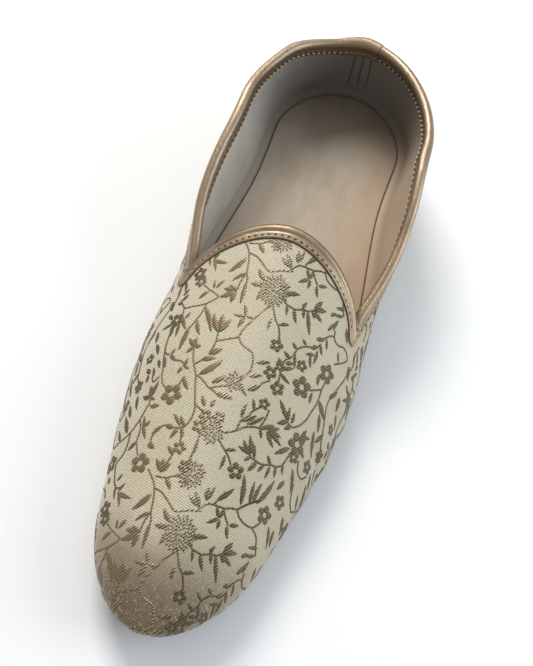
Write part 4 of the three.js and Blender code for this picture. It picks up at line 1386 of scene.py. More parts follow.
        (30.6, 63.6, 26.4, 62.7, 2.1), (38.2, 74.8, 43.8, 67.3, 2.5), (41.6, 77.6, 45.8, 72.8, 1.9),
        (30, 72.2, 31.6, 67.8, 1.5), (30.5, 71.5, 26.8, 77, 1.7), (29.4, 72.2, 27.3, 69.6, 1.7),
        (30.4, 78.6, 33.3, 82.3, 1.9), (32.8, 94.6, 31, 91.7, 1.4), (41.4, 35.8, 38, 40.8, 1.9),
        (40.2, 58.8, 37.7, 64.9, 1.7), (44.5, 29.5, 42.5, 35, 2.2), (40, 68, 43.5, 62.5, 2),
        (-40.5, 33, -44, 28.5, 2), (-41.8, 52, -44.6, 47, 1.9), (-40.8, 84, -44.5, 90, 2.2),
        (38.5, 95.6, 40.2, 92.8, 2), (-37.5, 3, -40.5, 8, 1.9), (-42, 0, -44, 6, 1.9),
    )

    # Each flower: its middle and the reach of its five petals.
    FLOWERS = (
        (34, 2.4, 3.2), (31.3, 6.4, 2.8), (35.2, 25, 3.2), (-10, 26.2, 2.7), (-22.7, 29, 2.4),
        (-35, 25.6, 3.9), (-25.8, 36.8, 4.2), (-11.5, 37.6, 2.7), (-16.4, 42.2, 2.9), (-13.7, 50.2, 2.3),
        (-33, 57.6, 4.3), (-33.6, 62.6, 2.6), (-12.6, 78.9, 3.2), (-30.6, 88.2, 3.4), (-35.6, 80.6, 2.8),
        (24.6, 86.9, 4.1), (22.9, 57.6, 4.4), (6, 62.9, 2.6), (6.7, 67.6, 2.9), (11, 77.9, 2.6),
        (42.4, 87.1, 3.7), (41.8, 42.5, 2.3), (42.5, 54.6, 2.7), (0.9, 62, 2.4), (6.2, 84, 2.6),
        (-43, 62, 2.8), (-14.4, 33.6, 2.2),
    )

    # Each large blossom: its middle and its reach.
    BLOSSOMS = ((-1.4, 5, 6), (0.6, 46.6, 3.4), (0.9, 68.2, 4), (2.8, 86.4, 4.8))

    def leaves(self) -> list[Sprig]:
        """Leaves between the charted stalk ends and tips, bowed a little in turn."""
        made = []
        for number, (x, y, tip_x, tip_y, width) in enumerate(self.LEAVES):
            angle = float(np.degrees(np.arctan2(tip_y - y, tip_x - x)))
            length = float(np.hypot(tip_x - x, tip_y - y))
            made.append(Sprig((x, y), angle, length, width, self.LEAF_BEND * (number % 3 - 1)))
        return made

    def flowers(self) -> list[Sprig]:
        """Round petals about each flower's open middle."""
        made = []
        for x, y, radius in self.FLOWERS:
            length, width = self.PETAL_LENGTH * radius, self.PETAL_WIDTH * radius
            for k in range(self.PETALS):
                angle = 360.0 / self.PETALS * k + self.FLOWER_TURN_DEG * x
                way = np.radians(angle)
                out = self.PETAL_START * radius
                start = (x + out * np.cos(way), y + out * np.sin(way))
                made.append(Sprig(start, angle, length, width, 0.0, Stroke.PETAL))
        return made

    def blossoms(self) -> list[Sprig]:
        """Short stitches scattered outwards over each large blossom, in a sunflower's order."""
        made = []
        for x, y, radius in self.BLOSSOMS:
            count = int(self.BLOSSOM_DENSITY * radius**2)
            for k in range(count):
                angle = self.GOLDEN_DEG * k
                way = np.radians(angle)
                out = radius * np.sqrt((k + 0.5) / count) + self.STITCH_START
                start = (x + out * np.cos(way), y + self.BLOSSOM_HEIGHT * out * np.sin(way))
                made.append(Sprig(start, angle, self.STITCH_LENGTH, self.STITCH_WIDTH, self.STITCH_BEND))
        return made

    def vine_paths(self) -> tuple[Array, Array]:
        """Cut every vine into short strokes along a smooth curve through its knots.

        Each stroke is a Catmull-Rom span: a cubic whose end slopes are half of the chord
        between the neighbouring knots.

        Returns:
            Paths of points and their half widths.
        """
        spans = []
        for vine in self.VINES:
            knots = np.array(vine, dtype=float)
            knots = np.vstack([2 * knots[0] - knots[1], knots, 2 * knots[-1] - knots[-2]])
            for k in range(1, len(knots) - 2):
                spans.append(knots[k - 1:k + 3])
        p = np.array(spans)
        t = np.linspace(0.0, 1.0, self.STATIONS)[None, :, None]
        a, b, c, d = (p[:, k][:, None] for k in range(4))
        square, cube = 2 * a - 5 * b + 4 * c - d, 3 * b - a - 3 * c + d
        curve = 0.5 * (2 * b + (c - a) * t + square * t**2 + cube * t**3)
        return curve, np.full(curve.shape[:2], self.VINE_HALF)

    def sprig_paths(self, sprigs: Sequence[Sprig]) -> tuple[Array, Array]:
        """Lay out strokes with a bowed middle line.

        Args:
            sprigs: The strokes.

        Returns:
            Paths of points and their half widths.
        """
        t = np.linspace(0.0, 1.0, self.STATIONS)
        start = np.array([s.at for s in sprigs])[:, None]
        way = np.radians([s.way_deg for s in sprigs])[:, None]
        length = np.array([s.length for s in sprigs])[:, None]
        bend = np.array([s.bend for s in sprigs])[:, None]
        along = length * t
        across = 4.0 * bend * length * t * (1.0 - t)
        x = along * np.cos(way) - across * np.sin(way)
        y = along * np.sin(way) + across * np.cos(way)
        paths = start + np.stack([x, y], axis=-1)
        halves = np.array([s.width / 2.0 * s.stroke.widths(t) for s in sprigs])
        number = np.arange(halves.size).reshape(halves.shape)
        uneven = 1.0 + self.UNEVEN * np.sin(self.UNEVEN_STEP * number)
        return paths, np.maximum(self.FULLNESS * halves * uneven, self.LEAST_HALF)


@dataclass(frozen=True)
class Pattern:
    """The chart repeated over the cloth and raised as thin satin strokes.

    Attributes:
        lift: Height of a stroke's top over the cloth.
        sink: How far its edges lie under the cloth.
        flat_share: Width of its flat top, as a share of its own.
        clip_split: A stroke is left out where it would bridge the two lays of the cloth
            behind a notch by more than this.
    """

    lift: float = 0.16
    sink: float = 0.12
    flat_share: float = 0.6
    clip_split: float = 1.0

    def tiles(self, paths: Array, halves: Array) -> tuple[Array, Array]:
        """Repeat strokes and their half widths side by side over the cloth."""
        grid = np.meshgrid((-1, 0, 1), (-2, -1, 0, 1), indexing="ij")
        shifts = np.stack(grid, axis=-1).reshape(-1, 2) * VineChart.REPEAT
        moved = paths[None] + shifts[:, None, None, :]
        widths = np.broadcast_to(halves[None], moved.shape[:3])
        return moved.reshape(-1, *paths.shape[1:]), widths.reshape(-1, paths.shape[1])

    def build(self, name: str, maker: Maker, lay: ClothLay, finish: bpy.types.Material,
              paths: Array, halves: Array) -> None:
        """Raise strokes from the cloth as one joined mesh of closed pillows.

        Each stroke has a four-cornered section: two edges just under the cloth and a flat
        top between them.

        Args:
            name: The piece's name.
            maker: Makes the mesh.
            lay: How the cloth lies on the last.
            finish: The thread's material.
            paths: Strokes' middle lines on the repeat.
            halves: Their half widths.
        """
        paths, halves = self.tiles(paths, halves)
        tangent = unit(np.gradient(paths, axis=1))
        across = np.stack([-tangent[..., 1], tangent[..., 0]], axis=-1)
        offsets = np.array([-1.0, -self.flat_share, self.flat_share, 1.0])
        section = paths[:, :, None] + across[:, :, None] * (offsets * halves[..., None])[..., None]
        points, normals, past, behind = lay.place(section)
        ahead = ~behind & (section[..., 1] < -self.clip_split)
        split = behind.any(axis=(1, 2)) & ahead.any(axis=(1, 2))
        keep = ~past.all(axis=(1, 2)) & ~split
        points, normals, section = points[keep], normals[keep], section[keep]
        points = points - normals * Drape.sink(points)[..., None]
        lifts = np.array([-self.sink, self.lift, self.lift, -self.sink])
        points = points + normals * lifts[:, None]
        faces = many_tubes(*points.shape[:3])
        maker.piece(name, points, faces, finish, "brocade", cloth=section, sharp_deg=80.0)


@dataclass(frozen=True)
class BindingCut:
    """How a binding's end is cut at a notch.

    Attributes:
        setback: How far each end stops short of the mitre.
        sight: Share of an outline over which its direction at the notch is taken.
        tail: How far ahead of the notch the point lies on the mitre.
        taper: How fast the point narrows away from it.
        overrun: How far the strips run on past the notch before they are cut.
        roundness: Softness of the corner between mitre and point.
        reach: Stations before the notch that may move to meet the cut.
    """

    setback: float = 0.05
    sight: float = 0.005
    tail: float = 8.0
    taper: float = 0.75
    overrun: float = 12.0
    roundness: float = 0.35
    reach: int = 30


@dataclass(frozen=True)
class Bindings:
    """Leather bindings of the vamp's arched edge and of the topline, with their stitches.

    The section is a closed loop of pairs: the way from the edge into the upper, and the way
    out of its outer face.
    """

    flange: float = 4.6
    band: float = 6.0
    wall: float = 2.0
    leather: float = 0.85
    bead: float = 2.3
    stitch_in: float = 3.35
    stitch_pitch: float = 2.8
    stitch_length: float = 1.6
    stitch_half: float = 0.27
    stitch_rise: float = 0.14
    inner_stitch_in: float = 4.65
    row_start: float = 3.0
    inner_row_start: float = 2.0
    tail_sewn: int = 8
    hole_half: float = 0.62
    middle_stitches: int = 26
    side_stitches: int = 17
    seam_gap: float = 4.2
    seam_rises: tuple[float, float] = (0.84, 0.16)
    lap_reach: float = 0.055
    lap_growth: float = 0.16
    lap_stations: int = 9
    lap_offset: int = 3
    cut: BindingCut = BindingCut()
    stations: int = 150
    tail_stations: int = 24

    # A place inside the shoe, from which stitches face away.
    SHOE_MIDDLE = (0.0, 110.0, 25.0)

    def section(self) -> Array:
        """Closed loop of the binding's section.

        The skin runs from the flange's edge over the bead, a part of a circle round the
        middle of the wall, to the inner band's edge; the core line runs back.
        """
        middle = -self.wall / 2.0
        skin = [(self.flange, 0.03), (self.flange + 0.04, 0.45), (self.flange - 0.12, 0.78),
                (self.flange - 0.45, self.leather), (self.stitch_in + 0.45, self.leather + 0.02),
                (self.stitch_in, self.leather - 0.1), (self.stitch_in - 0.45, self.leather + 0.04),
                (2.35, self.leather + 0.06), (2.0, self.leather - 0.02)]
        start = np.arctan2(self.leather - 0.05 - middle, -1.55)
        for angle in np.linspace(start, -np.pi * 0.62, 19):
            skin.append((-self.bead * np.cos(angle), middle + self.bead * np.sin(angle)))
        inner = -self.wall - self.leather
        skin += [(2.3, inner - 0.08), (3.6, inner), (4.4, inner + 0.06), (4.9, inner - 0.02),
                 (self.band - 0.5, inner), (self.band - 0.1, inner + 0.2), (self.band, inner + 0.5)]
        core = [(self.band, -self.wall - 0.03), (2.0, -self.wall - 0.03), (-0.1, -self.wall - 0.03),
                (-0.1, 0.03), (2.0, 0.03)]
        return np.array(skin + core)

    def vamp_points(self, last: Last, edge: Array, into: Array, section: Array) -> Array:
        """Points of the section on stations of an edge that lies on the vamp's face.

        Args:
            last: The last.
            edge: Edge points of the stations.
            into: Level directions from the edge into the upper.
            section: Places of the section.

        Returns:
            A row of section points for each station.
        """
        near = last.vamp_point(edge[:, 0] + into[:, 0] * STEP, edge[:, 1] + into[:, 1] * STEP)
        slope = unit(near - edge)
        level = np.hypot(slope[:, 0], slope[:, 1])[:, None] * np.maximum(section[:, 0], 0.0)
        x = edge[:, None, 0] + into[:, None, 0] * level
        y = edge[:, None, 1] + into[:, None, 1] * level
        face = last.vamp_point(x, y)
        normal = last.vamp_normal(x, y)
        over = np.minimum(section[:, 0], 0.0)[None, :, None]
        return face + normal * section[None, :, 1, None] + slope[:, None] * over

    def quarter_points(self, last: Last, h: Array, section: Array) -> Array:
        """Points of the section on stations of the topline."""
        one = np.ones_like(h)
        rise = (last.quarter_wall(h, one) - last.quarter_wall(h, one - STEP)) / STEP
        length = np.linalg.norm(rise, axis=-1)
        down = np.maximum(section[None, :, 0], 0.0) / length[:, None]
        hh = np.broadcast_to(h[:, None], down.shape)
        face = last.quarter_wall(hh, 1.0 - down)
        normal = last.quarter_normal(hh, 1.0 - down)
        over = np.maximum(-section[None, :, 0], 0.0)[..., None]
        return face + normal * section[None, :, 1, None] + unit(rise)[:, None] * over

    def arch_strip(self, last: Last, section: Array) -> Array:
        """Right half of the vamp's binding, from the centre line past the notch."""
        h = np.linspace(1.0, last.notch, self.stations)
        edge, into = last.arch_point(h), last.outward(last.arch_point, h)
        into[0] = (0.0, 1.0, 0.0)
        last_two = last.arch_point(np.array([last.notch, last.notch + STEP]))
        forward = unit((last_two[0] - last_two[1]) * (1.0, 1.0, 0.0))
        inward = np.array([-forward[1], forward[0], 0.0])
        into[-1] = -inward if inward @ into[-2] < 0.0 else inward
        main = self.vamp_points(last, edge, into, section)
        return self._with_tail(last, main, forward, into[-1], section)

    def topline_strip(self, last: Last, section: Array) -> Array:
        """Right half of the topline's binding, from the centre line past the notch."""
        h = np.linspace(0.0, last.notch, self.stations)
        last_two = last.topline_point(np.array([last.notch, last.notch - STEP]))
        forward = unit((last_two[0] - last_two[1]) * (1.0, 1.0, 0.0))
        into = np.array([forward[1], -forward[0], 0.0])
        main = self.quarter_points(last, h[:-1], section)
        return self._with_tail(last, main, forward, into, section)

    def _with_tail(self, last: Last, main: Array, forward: Array, into: Array,
                   section: Array) -> Array:
        """Carry a strip straight on past the notch over the vamp's face."""
        ways = np.linspace(0.0, self.cut.overrun, self.tail_stations + 1)[1:]
        plan = last.notch_point() + forward * ways[:, None]
        edge = last.vamp_point(plan[:, 0], plan[:, 1])
        tail = self.vamp_points(last, edge, np.broadcast_to(into, edge.shape), section)
        return np.concatenate([main, tail])

    def mitred(self, last: Last, strip: Array, side: int) -> Array:
        """Cut each line of a strip where it meets the mitre or the pointed tail.

        The mitre is a plane that stands square on the upper and halves the angle between
        the two edges. Ahead of the notch the tails are cut to a soft point. Every line is
        sampled again, so that its last station lies on the cut.

        Args:
            last: The last.
            strip: Stations of section points, running past the notch.
            side: 1 for the arch's strip and -1 for the topline's.

        Returns:
            The same number of stations, ending on the cut.
        """
        notch = last.notch_point()
        arch_way = unit(last.arch_point(np.array(last.notch + self.cut.sight)) - notch)
        back_way = unit(last.topline_point(np.array(last.notch - self.cut.sight)) - notch)
        off = last.vamp_normal(notch[0], notch[1])
        ahead = -(arch_way + back_way)
        ahead = unit(ahead - off * (ahead @ off))
        mitre = (strip - notch) @ (np.cross(ahead, off) * side)
        point = (strip - notch) @ ahead - self.cut.tail - mitre * self.cut.taper
        soft = self.cut.roundness
        beyond = soft * np.logaddexp((mitre + self.cut.setback) / soft, point / soft)
        start = len(strip) - self.tail_stations - self.cut.reach
        number = np.arange(len(strip))[:, None]
        hit = (beyond >= 0.0) & (number > start)
        first = np.where(hit.any(axis=0), hit.argmax(axis=0), len(strip) - 1)
        lines = np.arange(strip.shape[1])
        here, before = beyond[first, lines], beyond[first - 1, lines]
        back = np.where(here > before, here / np.maximum(here - before, 1e-9), 0.0)
        end = first - np.clip(back, 0.0, 1.0)
        share = np.clip((number - start) / (len(strip) - 1 - start), 0.0, 1.0)
        at = np.where(number <= start, number, start + (end - start)[None] * share)
        low = np.minimum(at.astype(int), len(strip) - 2)
        t = (at - low)[..., None]
        return strip[low, lines] * (1.0 - t) + strip[low + 1, lines] * t

    @staticmethod
    def both_sides(right: Array) -> Array:
        """Join a right half to its mirror across the centre line."""
        return np.concatenate([right[:0:-1] * MIRROR, right])

    def build(self, maker: Maker) -> None:
        """Make both bindings, the rows of stitches on them and the holes between those."""
        last = maker.last
        leather = FoilLeather().material()
        section = self.section()
        arch = self.both_sides(self.mitred(last, self.arch_strip(last, section), 1))
        top = self.both_sides(self.mitred(last, self.topline_strip(last, section), -1))
        slot = "binding_leather"
        maker.piece("vamp_edge_binding", arch, tube_quads(*arch.shape[:2]), leather, slot,
                    replaces=("vamp_binding",), sharp_deg=55.0)
        maker.piece("topline_edge_binding", top, tube_quads(*top.shape[:2]), leather, slot,
                    replaces=("topline_binding",), sharp_deg=55.0)
        # A dark strip along each flange's edge: painted shade where the binding meets the cloth.
        inner, outer = self.flange - 0.05, self.flange + 0.34
        line = np.array([(inner, -0.1), (inner, 0.22), (outer, 0.2), (outer, -0.1)])
        shade_lines = [self.both_sides(self.mitred(last, strip(last, line), side))
                 for strip, side in ((self.arch_strip, 1), (self.topline_strip, -1))]
        faces = [tube_quads(*seam.shape[:2]) for seam in shade_lines]
        faces[1] += shade_lines[0][..., 0].size
        maker.piece("binding_edge_shade_line", np.concatenate(shade_lines), np.concatenate(faces),
                    Thread("flange_edge_painted_shade", (58, 42, 28)).material(), slot)
        lap = self.lap(last)
        maker.piece("topline_binding_lap", lap, tube_quads(*lap.shape[:2]), leather, slot, sharp_deg=55.0)
        self.sew(maker)
        self.sew_back_seam(maker)

    def lap(self, last: Last) -> Array:
        """Short sleeve where the topline binding's ends lap over each other at the back.

        Its section is the binding's own, grown by the leather's thickness, and swells in the
        middle of the lap.
        """
        section = self.section()
        h = np.linspace(0.0, self.lap_reach, self.lap_stations)
        middle = np.array([0.8, -self.wall / 2.0])
        rows = []
        for number, one in enumerate(h):
            short = number / (self.lap_stations - 0.6)
            grow = 1.0 + self.lap_growth * np.sqrt(max(1.0 - short**4, 0.0))
            grown = (section - middle) * grow + middle
            rows.append(self.quarter_points(last, np.array([one]), grown)[0])
        return self.both_sides(np.array(rows))[self.lap_offset:]

    def sew_back_seam(self, maker: Maker) -> None:
        """Sew the lining's back: a row down its middle seam and one on each side of it."""
        last = maker.last
        near = np.linspace(0.0, 0.1, 41)
        run = running_length(last.topline_point(near))
        frames = []
        for offset in (-self.seam_gap, 0.0, self.seam_gap):
            h = np.interp(abs(offset), run, near)
            count = self.side_stitches if offset else self.middle_stitches
            rises = np.linspace(*self.seam_rises, count)
            wall = last.quarter_wall(np.full_like(rises, h), rises)
            normal = last.quarter_normal(np.full_like(rises, h), rises)
            if offset < 0.0:
                wall, normal = wall * MIRROR, normal * MIRROR
            along = unit(np.gradient(wall, axis=0))
            frames.append((wall - normal * (self.wall + 0.02), along, -normal, np.cross(normal, along)))
        thread, faces = self.stitches(tuple(np.concatenate(part) for part in zip(*frames)))
        colour = Thread("lining_seam_thread", (98, 80, 60)).material()
        maker.piece("back_seam_stitches", thread, faces, colour, "lining_leather")

    def sew(self, maker: Maker) -> None:
        """Sew a row of stitches along both flanges and along the topline's inner band."""
        last = maker.last
        outer_off, inner_off = self.leather - 0.1, -self.wall - self.leather
        outer = np.array([(self.stitch_in, outer_off), (self.stitch_in + 0.5, outer_off)])
        inner = np.array([(self.inner_stitch_in, inner_off), (self.inner_stitch_in + 0.45, inner_off)])
        rows = []
        for strip, place, end in ((self.arch_strip, outer, self.row_start),
                                  (self.topline_strip, outer, self.row_start),
                                  (self.topline_strip, inner, self.inner_row_start)):
            line = self.both_sides(strip(last, place)[: self.stations + self.tail_sewn])
            rows.append(self.stitch_frames(line, end, place is inner))
        frames = tuple(np.concatenate(part) for part in zip(*rows))
        maker.piece("binding_stitches", *self.stitches(frames),
                    Thread("pale_gold_thread", (214, 190, 152)).material(), "binding_leather")
        maker.piece("binding_stitch_holes", *self.holes(frames),
                    Thread("needle_hole_shadow", (52, 36, 24)).material(), "binding_leather")

    def stitch_frames(self, line: Array, end: float, inside: bool) -> Rows:
        """Place stitches at even ways along a line.

        Args:
            line: Stations of a point on the row and one beside it.
            end: Way from each end of the line to the first stitch.
            inside: Whether the row lies on the inner face.

        Returns:
            Middles, directions along the row, out of the leather and across the row.
        """
        run = running_length(line[:, 0])
        ways = np.arange(end, run[-1] - end, self.stitch_pitch)

        def read(at: Array, k: int) -> Array:
            """Points at ways along the row, or along the one beside it."""
            return np.stack([np.interp(at, run, line[:, k, axis]) for axis in range(3)], axis=-1)

        spots = read(ways, 0)
        along = unit(read(ways + 0.5, 0) - spots)
        across = unit(read(ways, 1) - spots)
        out = unit(np.cross(across, along))
        from_middle = spots - np.array(self.SHOE_MIDDLE)
        sign = np.where(np.einsum("ij,ij->i", out, from_middle) > 0.0, 1.0, -1.0)
        out = out * (-sign if inside else sign)[:, None]
        return spots, along, out, across

    def stitches(self, frames: Rows) -> tuple[Array, Array]:
        """Short round threads that dip into the leather at both ends.

        Along each thread, the middle line's height falls as a cosine from its rise, and its
        half width is the root of 1 less 0.9 times the fourth power of the way from its middle.
        """
        t = np.linspace(-1.0, 1.0, 7)
        turn = np.linspace(0.0, 2.0 * np.pi, 7)[:-1]
        half = self.stitch_half * np.sqrt(np.maximum(1.0 - 0.9 * t**4, 0.0))[:, None]
        x = (t * self.stitch_length / 2.0)[:, None] + 0.0 * turn
        z = self.stitch_rise * np.cos(t * 1.35)[:, None] + half * np.sin(turn)
        return self._sewn(frames, x, half * np.cos(turn), z)

    def holes(self, frames: Rows) -> tuple[Array, Array]:
        """Small dark lenses between the stitches, where the needle went in; their dark colour is painted
        shade in the needle holes.
        """
        level = np.array([0.0, 0.8, 1.0, 0.8, 0.0])[:, None]
        height = np.array([-0.08, -0.02, 0.06, 0.11, 0.12])[:, None]
        turn = np.linspace(0.0, 2.0 * np.pi, 9)[:-1]
        radius = np.maximum(level, 0.05) * self.hole_half
        x = self.stitch_pitch / 2.0 + radius * np.cos(turn) * 1.25
        return self._sewn(frames, x, radius * np.sin(turn), height + 0.0 * turn)

    @staticmethod
    def _sewn(frames: Rows, x: Array, y: Array, z: Array) -> tuple[Array, Array]:
        """Repeat a small tube over a row: x runs along the row, y across it and z out."""
        origin, along, out, across = (part[:, None, None] for part in frames)
        spots = origin + along * x[..., None] + across * y[..., None] + out * z[..., None]
        return spots, many_tubes(*spots.shape[:3])


@dataclass(frozen=True)
class Bottom:
    """Insole, outsole and heel lift."""

    half_steps: int = 184
    lid_columns: int = 24
    sole_lip: float = 0.8
    sole_bevel: float = 0.8
    upper_wall: float = 2.0
    insole_thickness: float = 2.5
    edge_width: float = 0.45
    sock_inset: float = 1.7
    heel_length: float = 66.0
    breast_hollow: float = 4.0
    heel_taper: float = 1.2

    # Outsets and heights over the insole: the rim's fillet, and the sock's edge and top.
    FILLET = ((2.2, 2.7), (1.8, 2.0), (1.2, 1.3), (0.4, 0.72), (-0.7, 0.3), (-2.2, 0.08), (-4.0, 0.0),
              (-9.0, 0.0))
    SOCK_SKIN = ((0.0, -0.5), (0.0, 0.3), (-0.2, 0.52), (-0.7, 0.62), (-2.0, 0.64), (-5.0, 0.64),
                 (-9.0, 0.64))

    def outline(self, last: Last, outset: float) -> Array:
        """Ring round the sole's outline, moved out by outset, with the middle left at z 0."""
        h = np.arange(self.half_steps + 1) / self.half_steps
        away = last.outward(last.girth_point, h)
        ring = closed(last.feather_point(h, np.zeros_like(h)) + away * outset)
        ring[:, 2] = 0.0
        return ring

    def layer(self, last: Last, profile: Profile, base: Curve) -> Array:
        """Rings of a flat layer.

        Args:
            last: The last.
            profile: Pairs of an outset and a height over the base, from the bottom up.
            base: Height of the layer's bottom along the shoe.

        Returns:
            The rings.
        """
        rings = []
        for outset, height in profile:
            ring = self.outline(last, outset)
            ring[:, 2] = base(ring[:, 1]) + height
            rings.append(ring)
        return np.array(rings)

    def sole_side(self, thickness: float) -> Profile:
        """Profile of the sole's side with rounded corners, from the bottom up."""
        outset, radius = self.sole_lip, self.sole_bevel
        turns = np.linspace(0.0, QUARTER_TURN, 5)
        away, near = radius * (1.0 - np.sin(turns)), radius * (1.0 - np.cos(turns))
        lower = [*zip(outset - away, near)]
        return lower + [*zip(outset - near, thickness - away)]

    def seat(self, last: Last, y: Array) -> Array:
        """Height of the insole's underside along the shoe."""
        return last.feather_height(y) + self.upper_wall + last.clearance

    def slab(self, maker: Maker, name: str, profile: Profile, base: Curve,
             finish: bpy.types.Material, slot: str, stands_for: str) -> None:
        """Make one layer, closed by a lid above and below.

        Args:
            maker: Makes the mesh.
            name: The layer's name.
            profile: Pairs of an outset and a height over the base, from the bottom up.
            base: Height of the layer's bottom along the shoe.
            finish: The layer's material.
            slot: The record's slot of that finish.
            stands_for: The CAD node that the layer replaces.
        """
        points, quads, triangles = stack(self.layer(maker.last, profile, base), self.lid_columns)
        maker.piece(name, points, quads, finish, slot, triangles, replaces=(stands_for,))

    def build(self, maker: Maker) -> None:
        """Make the insole's rim, its sock with a dark cut edge, the outsole and the heel."""
        last, slot = maker.last, "lining_leather"
        seat = partial(self.seat, last)
        sock = SmoothLeather("grey_beige_insole_leather", (200, 187, 168), (172, 155, 134), pore=1900.0)
        # The rim is a darker copy of the lining leather: painted shade where the wall meets the sock.
        rim = SmoothLeather("insole_rim_lining_shaded", (172, 164, 151), (150, 141, 127)).material()
        self.slab(maker, "insole_rim", self.rim_profile(), seat, rim, slot, "insole")
        thick, outer = self.insole_thickness, -self.sock_inset
        profile = [(outer + out, thick + up) for out, up in self.SOCK_SKIN]
        self.slab(maker, "insole_sock", profile, seat, sock.material(), slot, "insole")
        inner = outer - self.edge_width
        loop = [(outer + 0.2, thick - 0.4), (outer + 0.2, thick + 0.3), (outer, thick + 0.58),
                (inner, thick + 0.66), (inner, thick - 0.4)]
        rings = self.layer(last, loop, seat)
        edge = DarkLeather("dark_insole_edge", (108, 82, 60), (132, 102, 76)).material()
        quads = grid_quads(len(rings), rings.shape[1], True, True)
        maker.piece("insole_edge", rings, quads, edge, slot)
        leather = DarkLeather("brown_sole_leather", (72, 52, 36), (104, 80, 58)).material()
        self.slab(maker, "outsole_leather", self.sole_side(last.sole_thickness), last.sole_bottom,
                  leather, "sole", "outsole")
        self.build_heel(maker)

    def rim_profile(self) -> Profile:
        """Outsets and heights of the insole's rim: up its side, then round the fillet inwards."""
        side = [(-0.3, 0.0), (0.35, 0.35), (0.95, 0.95), (1.35, 1.6), (1.8, 2.1), (2.1, 3.4), (2.3, 4.9)]
        return side + [(out, self.insole_thickness + up) for out, up in self.FILLET]

    def build_heel(self, maker: Maker) -> None:
        """Make the heel lift: the sole's outline cut off by a hollow breast."""
        last = maker.last
        rings = []
        for outset, z in self.heel_profile(last.heel_height - last.clearance):
            side = self.outline(last, outset)[: self.half_steps + 1]
            side = side[side[:, 1] < self.heel_length - 0.3]
            corner = side[-1, 0]
            x = np.linspace(corner, 0.0, 21)
            y = self.heel_length - self.breast_hollow * (1.0 - (x / corner) ** 2)
            right = np.concatenate([side, np.stack([x, y, 0.0 * x], axis=-1)])
            ways = np.linspace(0.0, 1.0, 121)
            run = running_length(right) / running_length(right)[-1]
            even = np.stack([np.interp(ways, run, right[:, k]) for k in range(3)], axis=-1)
            even[:, 2] = z
            rings.append(closed(even))
        block = np.array(rings)
        rows, count = block.shape[:2]
        under = self.fan(count, 0, rows * count)[:, ::-1]
        over = self.fan(count, (rows - 1) * count, rows * count + 1)
        centres = np.array([(0.0, last.heel_seat_centre, block[row, 0, 2]) for row in (0, -1)])
        points = np.concatenate([block.reshape(-1, 3), centres])
        finish = DarkLeather("dark_heel_leather", (58, 42, 30), (92, 70, 50)).material()
        maker.piece("heel_block", points, grid_quads(rows, count, False, True), finish, "heel",
                    np.concatenate([under, over]), replaces=("heel_lift",), sharp_deg=35.0)

    def heel_profile(self, top: float) -> Profile:
        """Outsets and heights up the heel's tapered side, with a small bevel at both ends."""
        low, high = self.sole_lip - self.heel_taper, self.sole_lip - self.sole_bevel
        return [(low - 0.5, 0.0), (low - 0.15, 0.12), (low, 0.45), (high, top - 0.45),
                (high - 0.15, top - 0.12), (high - 0.5, top)]

    @staticmethod
    def fan(count: int, start: int, centre: int) -> Array:
        """Triangles from a ring's sides to a middle point."""
        i = np.arange(count)
        return np.stack([start + i, start + (i + 1) % count, np.full(count, centre)], axis=-1)


def stand(name: str, data: bpy.types.ID, axes: Sequence[Array], place: Sequence[float]) -> bpy.types.Object:
    """Stand a camera or a lamp in the scene.

    Args:
        name: Name of the new object.
        data: The camera or the lamp itself.
        axes: Its directions to the right, up and back.
        place: Its place in the shared frame, in metres.

    Returns:
        The new object.
    """
    made = bpy.data.objects.new(name, data)
    matrix = np.eye(4)
    matrix[:3] = np.stack([*axes, place], axis=-1)
    made.matrix_world = Matrix(matrix.tolist())
    bpy.context.scene.collection.objects.link(made)
    return made


@dataclass(frozen=True)
class PhotoCamera:
    """Camera at the photograph's place, turned to the one shoe and drawn closer.

    Attributes:
        place: Place in the shared frame, in millimetres.
        heading_deg: Direction of view over the floor, from +X.
        down_deg: How far the view points down.
        roll_deg: Roll of the picture.
        shoe_pixel: Middle of the shoe in the photograph, from the picture's middle.
        focal_pixels: Photograph's focal length.
        closer: How much larger the one shoe stands in its own picture.
        picture_height: Photograph's height in pixels.
        film_height: Height of the camera's film, in millimetres.
    """

    place: tuple[float, float, float] = (-37.7, 327.8, 418.0)
    heading_deg: float = -66.5
    down_deg: float = 61.5
    roll_deg: float = -1.4
    shoe_pixel: tuple[float, float] = (103.5, 10.0)
    focal_pixels: float = 880.0
    closer: float = 1.2
    picture_height: float = 666.0
    film_height: float = 36.0

    def build(self) -> None:
        """Make the camera and look through it."""
        heading, down, roll = (np.radians(v) for v in (self.heading_deg, self.down_deg, self.roll_deg))
        ahead = np.array([np.cos(heading) * np.cos(down), np.sin(heading) * np.cos(down), -np.sin(down)])
        right = unit(np.cross(ahead, (0.0, 0.0, 1.0)))
        up = np.cross(right, ahead)
        rolled_right = right * np.cos(roll) + up * np.sin(roll)
        rolled_up = up * np.cos(roll) - right * np.sin(roll)
        aim = unit(ahead + rolled_right * self.shoe_pixel[0] / self.focal_pixels
                   - rolled_up * self.shoe_pixel[1] / self.focal_pixels)
        right = unit(np.cross(aim, rolled_up))
        data = bpy.data.cameras.new("camera")
        data.sensor_width = self.film_height
        data.lens = self.film_height * self.focal_pixels * self.closer / self.picture_height
        data.clip_start = 0.01
        axes = (right, np.cross(right, aim), -aim)
        bpy.context.scene.camera = stand("camera", data, axes, np.array(self.place) * MM)


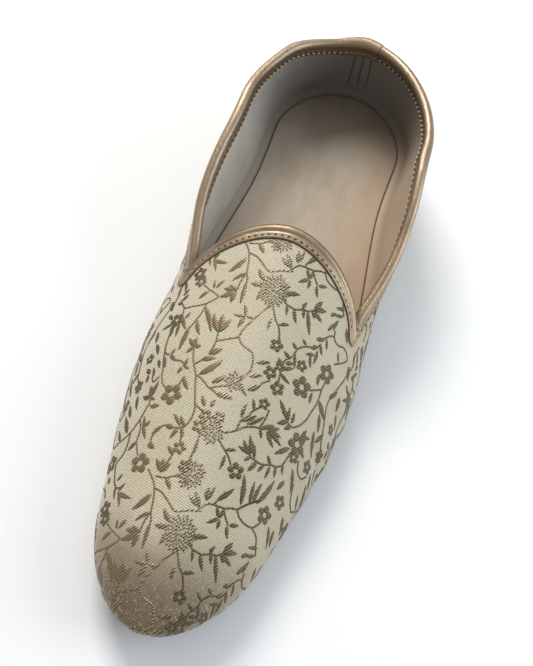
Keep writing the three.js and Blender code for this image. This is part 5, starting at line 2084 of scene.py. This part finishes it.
@dataclass(frozen=True)
class Lamp:
    """A soft square lamp that looks at the shoe's middle."""

    name: str
    place: tuple[float, float, float]
    size: float
    power: float
    colour: Colour

    LOOKS_AT = (0.0, 0.1, 0.03)

    def build(self) -> None:
        """Make the lamp."""
        data = bpy.data.lights.new(self.name, "AREA")
        data.size = self.size
        data.energy = self.power
        data.color = self.colour
        back = unit(np.array(self.place) - np.array(self.LOOKS_AT))
        right = unit(np.cross((0.0, 0.0, 1.0), back))
        stand(self.name, data, (right, np.cross(back, right), back), self.place)


class Studio:
    """Pale floor, soft lamps and a pale surround."""

    FLOOR_REACH = 3.0

    LAMPS = (
        Lamp("window_lamp", (0.55, -0.7, 1.0), 0.6, 15.5, (1.0, 0.98, 0.94)),
        Lamp("sky_lamp", (-1.1, -0.1, 0.6), 0.8, 8.0, (0.8, 0.9, 1.0)),
    )

    def build(self) -> None:
        """Make the floor, the lamps and the surround."""
        for lamp in self.LAMPS:
            lamp.build()
        world = bpy.data.worlds.new("surround")
        world.use_nodes = True
        back = world.node_tree.nodes["Background"]
        back.inputs["Color"].default_value = (0.95, 0.97, 1.0, 1.0)
        back.inputs["Strength"].default_value = 0.5
        bpy.context.scene.world = world
        bpy.context.scene.view_settings.view_transform = "Standard"
        mesh = bpy.data.meshes.new("floor")
        corners = [(x * self.FLOOR_REACH, y * self.FLOOR_REACH, 0.0)
                   for x, y in ((-1, -1), (1, -1), (1, 1), (-1, 1))]
        mesh.from_pydata(corners, [], [(0, 1, 2, 3)])
        mesh.materials.append(Shade("pale_floor").finish((244, 244, 244), 0.8))
        floor = bpy.data.objects.new("floor", mesh)
        bpy.context.scene.collection.objects.link(floor)


def main() -> None:
    """Make the camera and the studio, then build the shoe's parts in order."""
    logging.basicConfig(level=logging.INFO, format="%(message)s")
    last = Last()
    lay = ClothLay(last)
    maker = Maker(last)
    PhotoCamera().build()
    Studio().build()
    Upper().build(maker, lay)
    chart, pattern = VineChart(), Pattern()
    thread = BronzeThread().material()
    pattern.build("brocade_vines", maker, lay, thread, *chart.vine_paths())
    pattern.build("brocade_leaves", maker, lay, thread, *chart.sprig_paths(chart.leaves()))
    blooms = chart.flowers() + chart.blossoms()
    pattern.build("brocade_blooms", maker, lay, thread, *chart.sprig_paths(blooms))
    Bindings().build(maker)
    Bottom().build(maker)
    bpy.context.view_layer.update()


if __name__ == "__main__":
    main()
